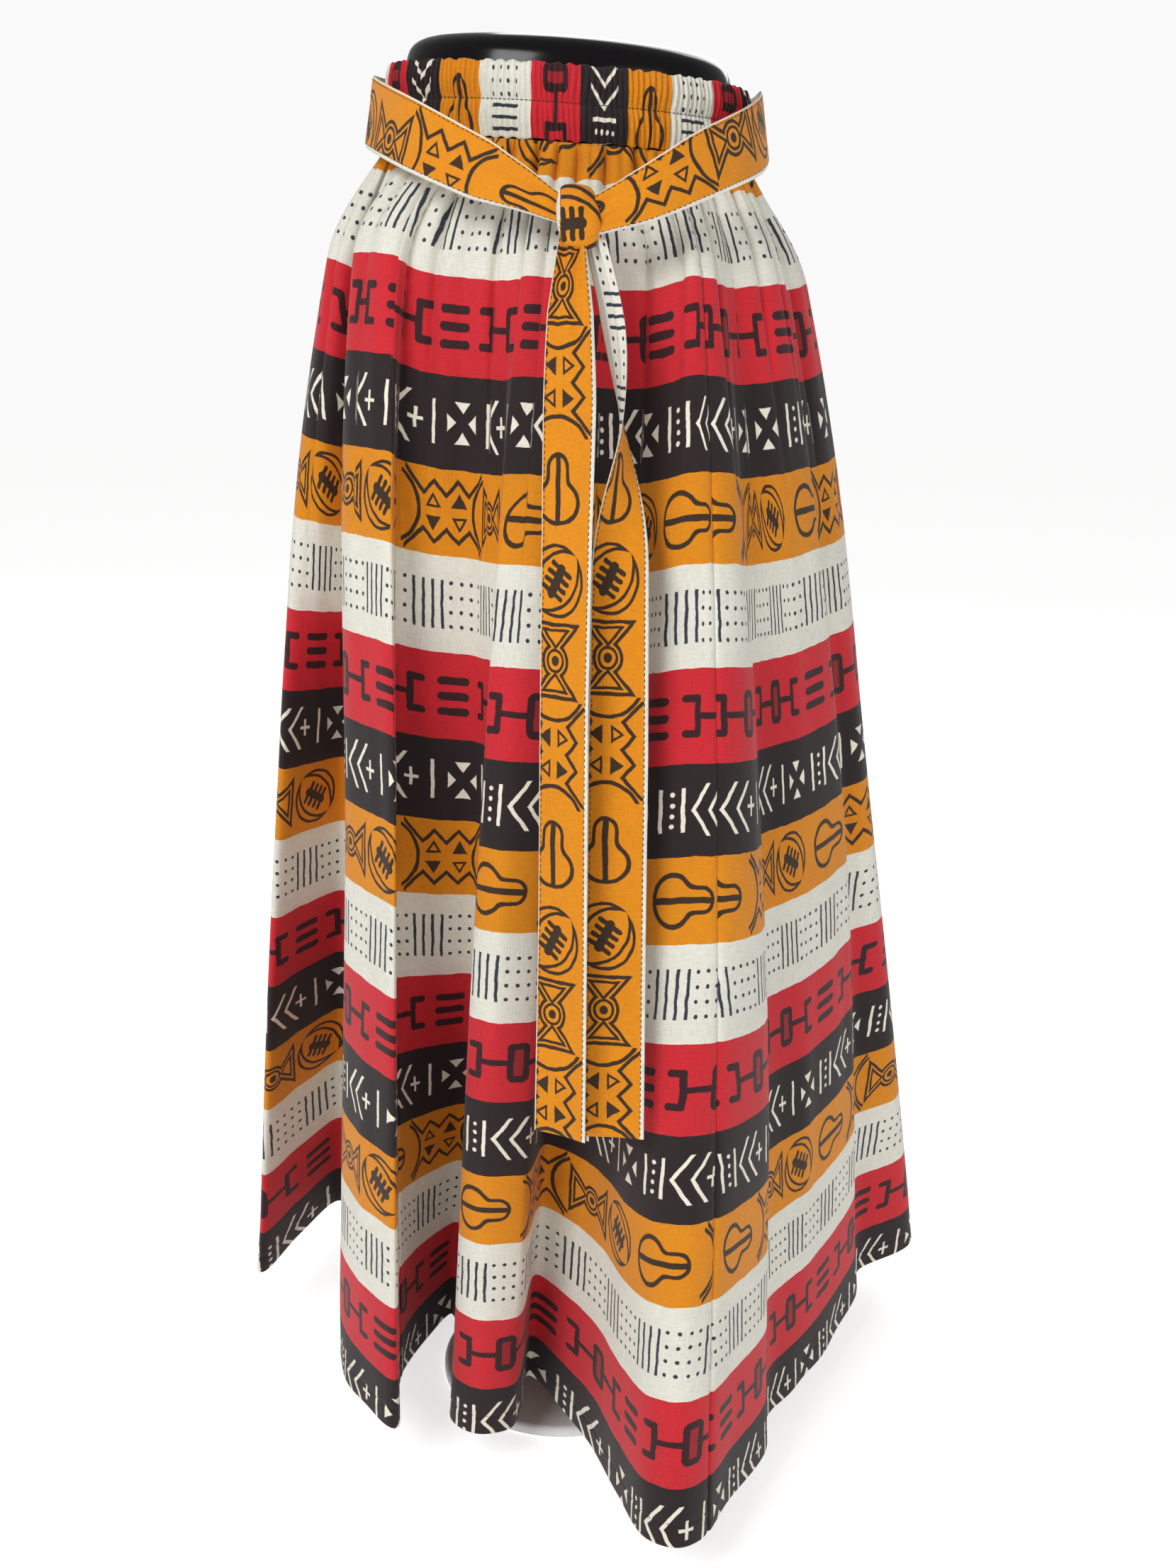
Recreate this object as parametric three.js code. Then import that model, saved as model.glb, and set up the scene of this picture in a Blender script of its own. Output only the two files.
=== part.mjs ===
// A gathered, full-length striped skirt with an elastic waistband and a tie belt, on a dress form.
// Millimetres, +Z up. The origin is the centre of the stand's underside; -Y is the front.
import * as THREE from 'three';

// ---------------------------------------------------------------- driving sizes
const WAIST_SEAM_HEIGHT = 1014;     // floor to the seam between waistband and skirt
const WAIST_HALF_WIDTH = 127;
const WAIST_HALF_DEPTH = 98;
const WAIST_TILT = THREE.MathUtils.degToRad(3.5);  // the left side of the waist sits higher
const WAISTBAND_HEIGHT = 48;
const SKIRT_LENGTH = 984;           // cloth from the waist seam to the hem
const CLOTH_THICKNESS = 1.2;
const SEAM_GAP = 0.4;
const COLUMN_PITCH = 16.5;          // width of cloth between two columns of points
const GATHER_HEIGHT = 2.0;          // how far a gather stands out at the waist seam
const GATHER_FADE = 75;             // the gathers die away over this length of cloth
const TIE_THICKNESS = 1.6;
const TIE_WIDTH = 46;

// Distances down the cloth at which the fold table gives places.
const LEVELS = { waist: 0, yoke: 98, mid: 545, hem: SKIRT_LENGTH };
// Distances down the cloth of the rows of points.
const ROW_DROPS = [0, 16, 40, 75, 120, 190, 285, 410, 545, 700, 850, SKIRT_LENGTH];

// A table is a list of column names and a list of rows; it becomes a list of objects.
function table(columns, rows) {
  return rows.map((row) => Object.fromEntries(columns.map((name, k) => [name, row[k]])));
}

// Every fold of the skirt, from the left side seam round the front, the right side and the back.
// Each row is one line of cloth, with its plan position at the yoke, at mid length and at the hem.
const FOLDS = table(
  ['name', 'yokeX', 'yokeY', 'midX', 'midY', 'hemX', 'hemY'],
  [
    ['left side seam', -174, 22, -236, 38, -278, 95],
    ['left corner', -175, -18, -231, -18, -275, 42],
    ['left slope', -161, -42, -212, 12, -250, 100],
    ['left valley', -149, -38, -186, 46, -219, 156],
    ['left return', -147, -54, -164, 8, -190, 80],
    ['lobe A left edge', -147, -84, -165, -92, -187, -72],
    ['lobe A face', -131, -104, -146, -128, -162, -130],
    ['lobe A tip', -110, -117, -121, -161, -131, -163],
    ['left front seam', -107, -104, -124, -110, -134, -92],
    ['recess B left', -88, -106, -102, -97, -120, -35],
    ['recess B right', -55, -116, -68, -92, -99, 0],
    ['recess B return', -37, -122, -52, -120, -84, -60],
    ['lobe C left edge', -30, -131, -62, -167, -87, -138],
    ['lobe C face', -14, -136, -44, -180, -64, -157],
    ['lobe C right edge', 4, -134, -18, -172, -40, -147],
    ['recess D left', 18, -124, 0, -130, -28, -74],
    ['recess D right', 42, -116, 28, -132, 2, -112],
    ['recess D return', 60, -120, 46, -166, 24, -155],
    ['lobe E left edge', 73, -125, 58, -203, 44, -225],
    ['lobe E left face', 80, -129, 73, -214, 66, -284],
    ['lobe E tip', 87, -129, 91, -217, 88, -296],
    ['right front seam', 92, -126, 109, -214, 110, -277],
    ['lobe E right face', 99, -120, 128, -199, 128, -238],
    ['lobe E right edge', 105, -111, 147, -163, 161, -172],
    ['recess F left', 112, -102, 147, -122, 170, -122],
    ['recess F middle', 132, -88, 186, -80, 212, -62],
    ['recess F right', 151, -70, 224, -28, 262, 30],
    ['right valley', 156, -46, 229, 2, 272, 74],
    ['right corner', 172, -14, 251, 16, 326, 104],
    ['right side seam', 174, 22, 254, 60, 318, 156],
    ['back valley 1', 152, 54, 208, 92, 256, 168],
    ['back crest 1', 146, 100, 204, 156, 250, 232],
    ['back valley 2', 112, 100, 150, 132, 180, 186],
    ['back crest 2', 88, 136, 122, 192, 146, 266],
    ['back valley 3', 54, 116, 70, 142, 84, 196],
    ['back crest 3', 24, 144, 30, 200, 30, 276],
    ['back valley 4', -10, 118, -18, 142, -24, 198],
    ['back crest 4', -42, 142, -62, 198, -80, 270],
    ['back valley 5', -72, 112, -100, 132, -126, 190],
    ['back crest 5', -106, 126, -148, 180, -188, 246],
    ['back valley 6', -128, 82, -172, 112, -214, 186],
    ['back crest 6', -158, 70, -221, 108, -264, 162],
  ],
);
const FOLD_COUNT = FOLDS.length;
const foldIndex = (name) => FOLDS.findIndex((fold) => fold.name === name);

// ---------------------------------------------------------------- plan of the skirt
const foldPoint = (fold, level) => new THREE.Vector2(fold[`${level}X`], fold[`${level}Y`]);
const hemLengths = FOLDS.map((fold, k) => {
  const next = FOLDS[(k + 1) % FOLD_COUNT];
  return foldPoint(fold, 'hem').distanceTo(foldPoint(next, 'hem'));
});
const hemGirth = hemLengths.reduce((sum, length) => sum + length, 0);

// The angle round the waist ellipse, from the left side through the front to the right side.
const waistAngle = (x, y) => Math.atan2(-y / WAIST_HALF_DEPTH, -x / WAIST_HALF_WIDTH);
function waistPoint(angle) {
  return new THREE.Vector2(-WAIST_HALF_WIDTH * Math.cos(angle), -WAIST_HALF_DEPTH * Math.sin(angle));
}

// A fold meets the waist between the place straight above it and the place its share of cloth gives.
const GATHER_EVENNESS = 0.15;
const LEAST_WAIST_ANGLE = THREE.MathUtils.degToRad(1.6);  // between two folds at the waist
const foldAngles = (() => {
  const first = waistAngle(FOLDS[0].yokeX, FOLDS[0].yokeY);
  let clothSoFar = 0;
  let straightBefore = first;
  return FOLDS.map((fold, k) => {
    let straight = waistAngle(fold.yokeX, fold.yokeY);
    while (straight < straightBefore - 0.5) straight += 2 * Math.PI;
    straight = Math.max(straight, straightBefore + (k > 0 ? LEAST_WAIST_ANGLE : 0));
    straightBefore = straight;
    const shared = first + (2 * Math.PI * clothSoFar) / hemGirth;
    clothSoFar += hemLengths[k];
    return THREE.MathUtils.lerp(straight, shared, GATHER_EVENNESS);
  });
})();

// A smooth blend of four values given at the four levels.
function alongLevels(drop, values) {
  const stops = Object.values(LEVELS);
  let k = 0;
  while (k < stops.length - 2 && drop > stops[k + 1]) k += 1;
  const slope = (n) => {
    const before = Math.max(n - 1, 0);
    const after = Math.min(n + 1, stops.length - 1);
    return (values[after] - values[before]) / (stops[after] - stops[before]);
  };
  const span = stops[k + 1] - stops[k];
  const t = (drop - stops[k]) / span;
  const startWeight = 2 * t ** 3 - 3 * t ** 2 + 1;
  const startSlopeWeight = t ** 3 - 2 * t ** 2 + t;
  const endSlopeWeight = t ** 3 - t ** 2;
  return startWeight * values[k] + (1 - startWeight) * values[k + 1]
    + span * (startSlopeWeight * slope(k) + endSlopeWeight * slope(k + 1));
}

// The closed section of the skirt at one distance down the cloth.
function sectionCurve(drop) {
  const points = FOLDS.map((fold, k) => {
    const waist = waistPoint(foldAngles[k]);
    const x = alongLevels(drop, [waist.x, fold.yokeX, fold.midX, fold.hemX]);
    const y = alongLevels(drop, [waist.y, fold.yokeY, fold.midY, fold.hemY]);
    return new THREE.Vector3(x, y, 0);
  });
  return new THREE.CatmullRomCurve3(points, true, 'centripetal');
}

// The columns of points: so many between two folds that each takes about the same cloth.
const COLUMNS = FOLDS.flatMap((fold, k) => {
  const count = Math.max(2, Math.round(hemLengths[k] / COLUMN_PITCH));
  return Array.from({ length: count }, (_, n) => ({ fold: k, place: (k + n / count) / FOLD_COUNT }));
});
const columnOf = (name) => COLUMNS.findIndex((column) => column.fold === foldIndex(name));

const tiltLift = (x) => -x * Math.tan(WAIST_TILT);
const sideOf = (column) => (column % 2 === 0 ? 1 : -1);

// ---------------------------------------------------------------- the skirt's middle surface
// rows[r][c] is a point of the cloth's middle surface, and normals[r][c] points out of the skirt.
function skirtSurface() {
  const rows = ROW_DROPS.map((drop) => {
    const curve = sectionCurve(drop);
    return COLUMNS.map((column) => curve.getPoint(column.place));
  });
  rows[0].forEach((point) => { point.z = WAIST_SEAM_HEIGHT - SEAM_GAP / 2 + tiltLift(point.x); });
  for (let r = 1; r < rows.length; r += 1) {
    const step = ROW_DROPS[r] - ROW_DROPS[r - 1];
    rows[r].forEach((point, c) => {
      const above = rows[r - 1][c];
      const sideways = Math.hypot(point.x - above.x, point.y - above.y);
      point.z = above.z - Math.sqrt(Math.max(step ** 2 - sideways ** 2, (0.4 * step) ** 2));
    });
  }
  const smooth = squareTopped(surfaceNormals(rows));
  rows.forEach((row, r) => row.forEach((point, c) => {
    const fade = Math.max(0, 1 - ROW_DROPS[r] / (2 * GATHER_FADE));
    point.addScaledVector(smooth[r][c], sideOf(c) * GATHER_HEIGHT * 0.5 * fade);
  }));
  return { rows, normals: squareTopped(surfaceNormals(rows)) };
}

// The same normals, level along the top row, so that the top edge is cut square.
function squareTopped(normals) {
  normals[0].forEach((normal) => normal.setZ(0).normalize());
  return normals;
}

// Outward normals of a surface closed round its columns.
function surfaceNormals(rows) {
  const last = rows.length - 1;
  return rows.map((row, r) => row.map((_, c) => {
    const count = row.length;
    const along = row[(c + 1) % count].clone().sub(row[(c + count - 1) % count]);
    const down = rows[Math.min(r + 1, last)][c].clone().sub(rows[Math.max(r - 1, 0)][c]);
    return down.cross(along).normalize();
  }));
}

// ---------------------------------------------------------------- mesh builders
function solidFrom(vertices, faces) {
  const geometry = new THREE.BufferGeometry();
  geometry.setAttribute('position', new THREE.Float32BufferAttribute(vertices.flatMap((v) => [v.x, v.y, v.z]), 3));
  geometry.setIndex(faces.flat());
  geometry.computeVertexNormals();
  return geometry;
}

// A wall between an outer and an inner grid of points, open round its columns, closed by rims.
// Seen from outside, columns run from left to right and rows run downwards.
function wallSolid(outer, inner) {
  const rowCount = outer.length;
  const columnCount = outer[0].length;
  const vertices = [...outer.flat(), ...inner.flat()];
  const out = (r, c) => r * columnCount + c;
  const inn = (r, c) => rowCount * columnCount + r * columnCount + c;
  const faces = [];
  const quad = (a, b, c, d) => faces.push([a, b, c], [a, c, d]);
  for (let r = 0; r < rowCount - 1; r += 1) {
    for (let c = 0; c < columnCount - 1; c += 1) {
      quad(out(r, c), out(r + 1, c), out(r + 1, c + 1), out(r, c + 1));
      quad(inn(r, c), inn(r, c + 1), inn(r + 1, c + 1), inn(r + 1, c));
    }
    quad(out(r, 0), inn(r, 0), inn(r + 1, 0), out(r + 1, 0));
    const e = columnCount - 1;
    quad(out(r, e), out(r + 1, e), inn(r + 1, e), inn(r, e));
  }
  for (let c = 0; c < columnCount - 1; c += 1) {
    quad(out(0, c), out(0, c + 1), inn(0, c + 1), inn(0, c));
    const b = rowCount - 1;
    quad(out(b, c), inn(b, c), inn(b, c + 1), out(b, c + 1));
  }
  return solidFrom(vertices, faces);
}

// A closed ring: every loop is a list of points round the ring, and the loops go round its section.
function ringSolid(loops) {
  const loopCount = loops.length;
  const pointCount = loops[0].length;
  const at = (l, p) => (l % loopCount) * pointCount + (p % pointCount);
  const faces = [];
  for (let l = 0; l < loopCount; l += 1) {
    for (let p = 0; p < pointCount; p += 1) {
      faces.push([at(l, p), at(l, p + 1), at(l + 1, p + 1)], [at(l, p), at(l + 1, p + 1), at(l + 1, p)]);
    }
  }
  return solidFrom(loops.flat(), faces);
}

// A closed lump from stacked loops of equal length, each end closed by a fan on its centre.
function stackSolid(loops) {
  const pointCount = loops[0].length;
  const centreOf = (loop) => loop.reduce((sum, v) => sum.add(v), new THREE.Vector3()).divideScalar(loop.length);
  const vertices = [...loops.flat(), centreOf(loops[0]), centreOf(loops[loops.length - 1])];
  const firstCentre = loops.length * pointCount;
  const at = (l, p) => l * pointCount + (p % pointCount);
  const faces = [];
  for (let p = 0; p < pointCount; p += 1) {
    for (let l = 0; l < loops.length - 1; l += 1) {
      faces.push([at(l, p), at(l, p + 1), at(l + 1, p + 1)], [at(l, p), at(l + 1, p + 1), at(l + 1, p)]);
    }
    faces.push([firstCentre, at(0, p + 1), at(0, p)]);
    faces.push([firstCentre + 1, at(loops.length - 1, p), at(loops.length - 1, p + 1)]);
  }
  return solidFrom(vertices, faces);
}

function part(name, geometry, colour, roughness, metalness = 0) {
  const material = new THREE.MeshStandardMaterial({ color: colour, roughness, metalness });
  const mesh = new THREE.Mesh(geometry, material);
  mesh.name = name;
  return mesh;
}

// ---------------------------------------------------------------- skirt panels
const surface = skirtSurface();
const offset = (point, normal, distance) => point.clone().addScaledVector(normal, distance);

// The points of the columns from one seam to the next, with the end columns drawn in from the seams.
function panelGrid(fromColumn, toColumn) {
  const count = COLUMNS.length;
  const span = ((toColumn - fromColumn + count) % count) || count;
  const picks = Array.from({ length: span + 1 }, (_, k) => (fromColumn + k) % count);
  return surface.rows.map((row, r) => picks.map((c, k) => {
    const point = row[c].clone();
    const neighbour = k === 0 ? row[picks[1]] : row[picks[k - 1]];
    if (k === 0 || k === span) {
      point.addScaledVector(neighbour.clone().sub(point).normalize(), SEAM_GAP / 2);
    }
    return { point, normal: surface.normals[r][c] };
  }));
}

function skirtPanel(name, fromSeam, toSeam, colour) {
  const grid = panelGrid(columnOf(fromSeam), columnOf(toSeam));
  const side = (distance) => grid.map((row) => row.map((spot) => offset(spot.point, spot.normal, distance)));
  return part(name, wallSolid(side(CLOTH_THICKNESS / 2), side(-CLOTH_THICKNESS / 2)), colour, 0.8);
}

// ---------------------------------------------------------------- waistband
// One strip folded over two elastics: two gathered channels with a stitched line between them.
const WAISTBAND_ROWS = table(
  ['name', 'share', 'puff', 'gather'],
  [
    ['waist seam', 0.0, 0.6, 0.5],
    ['lower channel', 0.25, 3.2, 1.1],
    ['stitched line', 0.5, 1.0, 0.5],
    ['upper channel', 0.75, 3.2, 1.1],
    ['top fold', 1.0, 0.8, 0.9],
  ],
);
const WAISTBAND_INSIDE = -2.4;

function waistband() {
  const loopAt = (share, distance, gather) => COLUMNS.map((column, c) => {
    const base = sectionCurve(0).getPoint(column.place);
    const outwards = new THREE.Vector3(base.x / WAIST_HALF_WIDTH ** 2, base.y / WAIST_HALF_DEPTH ** 2, 0);
    const point = offset(base, outwards.normalize(), distance + gather * sideOf(c));
    point.z = WAIST_SEAM_HEIGHT + SEAM_GAP + tiltLift(base.x) + share * WAISTBAND_HEIGHT;
    return point;
  });
  const outer = WAISTBAND_ROWS.map((row) => loopAt(row.share, row.puff, row.gather));
  const inner = [loopAt(1, WAISTBAND_INSIDE, 0), loopAt(0.5, WAISTBAND_INSIDE, 0), loopAt(0, WAISTBAND_INSIDE, 0)];
  return part('waistband', ringSolid([...outer, ...inner]), 0xd9a441, 0.8);
}

// ---------------------------------------------------------------- tie belt
// A strip of doubled cloth along a line of stations; lean moves its lower edge away from the skirt.
const STATION_COLUMNS = ['name', 'x', 'y', 'z', 'width', 'lean'];
const TIE_LOOP = table(STATION_COLUMNS, [
  ['left arm at the knot', -10, -152, 970, 16, 1],
  ['left arm, inner', -28, -151, 981, 27, 2],
  ['left arm, middle', -55, -144, 993, 38, 4],
  ['left arm, outer', -104, -109, 1017, 44, 5],
  ['left side', -139, -32, 1038, TIE_WIDTH, 7],
  ['left back', -127, 46, 1042, TIE_WIDTH, 3],
  ['back left', -68, 101, 1038, TIE_WIDTH, 1],
  ['back', 0, 113, 1035, TIE_WIDTH, 1],
  ['back right', 68, 101, 1032, TIE_WIDTH, 1],
  ['right back', 127, 46, 1030, TIE_WIDTH, 3],
  ['right side', 138, -24, 1031, TIE_WIDTH, 7],
  ['right arm, outer', 126, -93, 1016, 45, 6],
  ['right arm, middle', 91, -138, 998, 42, 4],
  ['right arm, inner', 50, -158, 977, 33, 2],
  ['right arm at the knot', 26, -157, 965, 24, 1],
]);
// A tail hangs, so its width runs sideways; turn swings its right edge towards the front.
const TAIL_COLUMNS = ['name', 'x', 'y', 'z', 'width', 'turn'];
const LEFT_TAIL = table(TAIL_COLUMNS, [
  ['under the knot', 3, -160, 941, 22, 4],
  ['gathered neck', 4, -171, 905, 30, 8],
  ['opening out', 5, -184, 850, 39, 5],
  ['upper fall', 6, -197, 770, 42, 0],
  ['middle fall', 5, -212, 660, 43, -3],
  ['lower fall', 4, -232, 510, 43, 0],
  ['end', 3, -248, 358, 43, 2],
]);
const RIGHT_TAIL = table(TAIL_COLUMNS, [
  ['under the knot', 25, -151, 941, 16, -45],
  ['twisted neck', 31, -158, 900, 20, -45],
  ['turning over', 38, -174, 830, 28, -15],
  ['upper fall', 40, -193, 740, 40, 8],
  ['middle fall', 40, -209, 620, 43, 10],
  ['lower fall', 40, -227, 500, 43, 9],
  ['end', 40, -244, 354, 43, 6],
]);
const TIE_STEP = 22;

// A smooth line through the stations with every other column blended along it.
function stations(rows, columns) {
  const points = rows.map((row) => new THREE.Vector3(row.x, row.y, row.z));
  const curve = new THREE.CatmullRomCurve3(points, false, 'centripetal');
  const count = Math.ceil(curve.getLength() / TIE_STEP);
  return Array.from({ length: count + 1 }, (_, k) => {
    const t = k / count;
    const place = t * (rows.length - 1);
    const before = Math.min(Math.floor(place), rows.length - 2);
    const values = columns.map((name) => (
      THREE.MathUtils.lerp(rows[before][name], rows[before + 1][name], place - before)));
    return { point: curve.getPoint(t), heading: curve.getTangent(t), values };
  });
}

// The wall of a strip, given where its two edges run and which way it faces.
function stripSolid(edges) {
  const shift = TIE_THICKNESS / 2;
  const side = (sign) => [0, 0.5, 1].map((across) => edges.map((edge) => (
    offset(edge.upper.clone().lerp(edge.lower, across), edge.facing, sign * shift))));
  return wallSolid(side(1), side(-1));
}

function tieLoop() {
  const edges = stations(TIE_LOOP, ['width', 'lean']).map(({ point, heading, values }) => {
    const [width, lean] = values;
    const up = new THREE.Vector3(0, 0, 1);
    const across = up.addScaledVector(heading, -heading.z).normalize();
    const level = new THREE.Vector3(heading.x, heading.y, 0).normalize();
    const outwards = new THREE.Vector3(-level.y, level.x, 0);
    const upper = offset(offset(point, across, width / 2), outwards, -lean / 2);
    const lower = offset(offset(point, across, -width / 2), outwards, lean / 2);
    return { upper, lower, facing: outwards };
  });
  return edges.reverse();
}

function tail(rows) {
  return stations(rows, ['width', 'turn']).map(({ point, heading, values }) => {
    const [width, turn] = values;
    const angle = THREE.MathUtils.degToRad(turn);
    const across = new THREE.Vector3(Math.cos(angle), -Math.sin(angle), 0);
    const facing = across.clone().cross(heading).negate().normalize();
    return { left: offset(point, across, -width / 2), right: offset(point, across, width / 2), facing };
  });
}

// A hanging strip: its columns run across and its rows run down.
function tailSolid(rows) {
  const edges = tail(rows);
  const side = (sign) => edges.map((edge) => [0, 0.5, 1].map((across) => (
    offset(edge.left.clone().lerp(edge.right, across), edge.facing, (sign * TIE_THICKNESS) / 2))));
  return wallSolid(side(1), side(-1));
}

// The knot: a rounded, flattened lump that is fuller at its upper left.
const KNOT = { x: 8, y: -156, z: 964, halfWidth: 13, halfDepth: 10, halfHeight: 20.5 };
const KNOT_RINGS = 9;
const KNOT_POINTS = 18;

function knotSolid() {
  const loops = Array.from({ length: KNOT_RINGS }, (_, k) => {
    const polar = Math.PI * (0.08 + (0.84 * k) / (KNOT_RINGS - 1));
    const reach = Math.sin(polar) ** 0.6;
    const level = -Math.sign(Math.cos(polar)) * Math.abs(Math.cos(polar)) ** 0.8;
    return Array.from({ length: KNOT_POINTS }, (__, p) => {
      const angle = (2 * Math.PI * p) / KNOT_POINTS;
      const fold = 1 + 0.06 * Math.cos(3 * angle + 2 * level);
      return new THREE.Vector3(
        KNOT.x + KNOT.halfWidth * reach * fold * Math.cos(angle) - 1.5 * level,
        KNOT.y + KNOT.halfDepth * reach * fold * Math.sin(angle),
        KNOT.z + KNOT.halfHeight * level,
      );
    });
  });
  return stackSolid(loops);
}

// ---------------------------------------------------------------- side pockets
// A narrow facing behind each side seam backs the pocket's mouth.
const POCKET_ROWS = [2, 6];         // rows of points between which the facing runs
const POCKET_DEPTH = 4;             // how far it lies inside the panels

function pocketFacing(name, seam) {
  const centre = columnOf(seam);
  const count = COLUMNS.length;
  const reach = 2;
  const grid = surface.rows.slice(POCKET_ROWS[0], POCKET_ROWS[1] + 1).map((row, k) => (
    Array.from({ length: 2 * reach + 1 }, (_, n) => {
      const c = (centre + n - reach + count) % count;
      return { point: row[c], normal: surface.normals[k + POCKET_ROWS[0]][c] };
    })));
  const side = (distance) => grid.map((row) => row.map((spot) => offset(spot.point, spot.normal, distance)));
  return part(name, wallSolid(side(-POCKET_DEPTH), side(-POCKET_DEPTH - CLOTH_THICKNESS)), 0xdedbd0, 0.85);
}

// ---------------------------------------------------------------- dress form and stand
const FORM_ROWS = table(
  ['name', 'z', 'halfWidth', 'halfDepth'],
  [
    ['underside', 806, 88, 62],
    ['lower edge', 812, 104, 75],
    ['seat', 850, 128, 92],
    ['hip', 900, 132, 95],
    ['upper hip', 950, 126, 92],
    ['waist', 1010, 119, 90],
    ['waist top', 1056, 117, 89],
    ['shoulder of the top', 1074, 113, 85],
    ['top edge', 1081, 104, 77],
    ['top', 1084, 88, 64],
  ],
);
const FORM_POINTS = 40;
const POLE_RADIUS = 12;
const BASE_RADIUS = 105;
const BASE_THICKNESS = 9;
const BASE_EDGE = 2;
const CONTACT_GAP = 0.3;

function formSolid() {
  const tiltFrom = 900;
  const loops = FORM_ROWS.map((row) => Array.from({ length: FORM_POINTS }, (_, p) => {
    const angle = (2 * Math.PI * p) / FORM_POINTS;
    const x = row.halfWidth * Math.cos(angle);
    const y = row.halfDepth * Math.sin(angle);
    const share = THREE.MathUtils.clamp((row.z - tiltFrom) / (WAIST_SEAM_HEIGHT - tiltFrom), 0, 1);
    return new THREE.Vector3(x, y, row.z + share * tiltLift(x));
  }));
  return stackSolid(loops);
}

function poleSolid() {
  const top = FORM_ROWS[0].z - CONTACT_GAP;
  const bottom = BASE_THICKNESS + CONTACT_GAP;
  const geometry = new THREE.CylinderGeometry(POLE_RADIUS, POLE_RADIUS, top - bottom, 28);
  geometry.rotateX(Math.PI / 2);
  geometry.translate(0, 0, (top + bottom) / 2);
  return geometry;
}

function baseSolid() {
  const profile = [
    new THREE.Vector2(0, 0),
    new THREE.Vector2(BASE_RADIUS, 0),
    new THREE.Vector2(BASE_RADIUS, BASE_THICKNESS - BASE_EDGE),
    new THREE.Vector2(BASE_RADIUS - BASE_EDGE, BASE_THICKNESS),
    new THREE.Vector2(0, BASE_THICKNESS),
  ];
  const geometry = new THREE.LatheGeometry(profile, 48);
  geometry.rotateX(Math.PI / 2);
  return geometry;
}

// ---------------------------------------------------------------- the whole part
const group = new THREE.Group();
group.add(
  skirtPanel('front_left_panel', 'left side seam', 'left front seam', 0xc6232e),
  skirtPanel('front_centre_panel', 'left front seam', 'right front seam', 0xe0900e),
  skirtPanel('front_right_panel', 'right front seam', 'right side seam', 0xdedccf),
  skirtPanel('back_panel', 'right side seam', 'left side seam', 0x2a1c1c),
  waistband(),
  part('tie_loop', stripSolid(tieLoop()), 0xe0900e, 0.8),
  part('tie_knot', knotSolid(), 0xe0900e, 0.8),
  part('tie_tail_left', tailSolid(LEFT_TAIL), 0xe0900e, 0.8),
  part('tie_tail_right', tailSolid(RIGHT_TAIL), 0xe0900e, 0.8),
  pocketFacing('pocket_facing_left', 'left side seam'),
  pocketFacing('pocket_facing_right', 'right side seam'),
  part('dress_form', formSolid(), 0x0a0a0c, 0.15),
  part('stand_pole', poleSolid(), 0xd8d8d8, 0.3, 0.9),
  part('stand_base', baseSolid(), 0xe8e8e6, 0.5),
);

export default group;
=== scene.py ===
"""A gathered, striped maxi skirt with an elastic waistband and a tie belt, on a dress form.

Sizes in the tables and classes are millimetres, and angles are degrees. Points become metres
as they are written into a mesh. Front is -Y, up is +Z and right is +X.
"""
import logging
import math
from dataclasses import dataclass
from enum import Enum

import bpy
import numpy as np
from mathutils import Matrix, Vector


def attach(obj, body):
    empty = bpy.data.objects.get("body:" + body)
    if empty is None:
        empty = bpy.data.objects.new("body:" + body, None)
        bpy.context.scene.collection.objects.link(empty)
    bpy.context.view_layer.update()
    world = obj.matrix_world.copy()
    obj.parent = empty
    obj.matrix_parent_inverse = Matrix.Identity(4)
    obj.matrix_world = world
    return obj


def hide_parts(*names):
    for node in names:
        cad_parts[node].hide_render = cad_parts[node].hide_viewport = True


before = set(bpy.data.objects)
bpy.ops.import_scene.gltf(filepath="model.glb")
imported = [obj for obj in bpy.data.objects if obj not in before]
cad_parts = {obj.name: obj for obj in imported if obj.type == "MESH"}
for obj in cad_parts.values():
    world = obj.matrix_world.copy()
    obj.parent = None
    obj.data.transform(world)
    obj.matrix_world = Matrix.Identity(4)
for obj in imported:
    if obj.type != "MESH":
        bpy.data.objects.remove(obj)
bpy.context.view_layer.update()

LOG = logging.getLogger("skirt")
METRES = 0.001
MILLIMETRES = 1000.0
BODY = "root"


# ---------------------------------------------------------------- small sums
def eased(value: np.ndarray | float) -> np.ndarray:
    """A smooth step from 0 to 1 as value goes from 0 to 1."""
    share = np.clip(value, 0.0, 1.0)
    return share * share * (3.0 - 2.0 * share)


def bump(value: np.ndarray | float, width: float) -> np.ndarray:
    """A soft bell of height 1 about 0, whose sides fall away over width."""
    return np.exp(-np.square(np.asarray(value) / width))


def unit(vectors: np.ndarray) -> np.ndarray:
    """The same vectors, each of length 1."""
    return vectors / np.maximum(np.linalg.norm(vectors, axis=-1, keepdims=True), 1e-9)


def running_total(steps: np.ndarray) -> np.ndarray:
    """The total of the steps so far along the last axis, starting from 0."""
    return np.concatenate([np.zeros(steps.shape[:-1] + (1,)), np.cumsum(steps, axis=-1)], axis=-1)


def length_along(points: np.ndarray) -> np.ndarray:
    """How far each point, shape (..., N, D), lies along its line."""
    return running_total(np.linalg.norm(np.diff(points, axis=-2), axis=-1))


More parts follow.
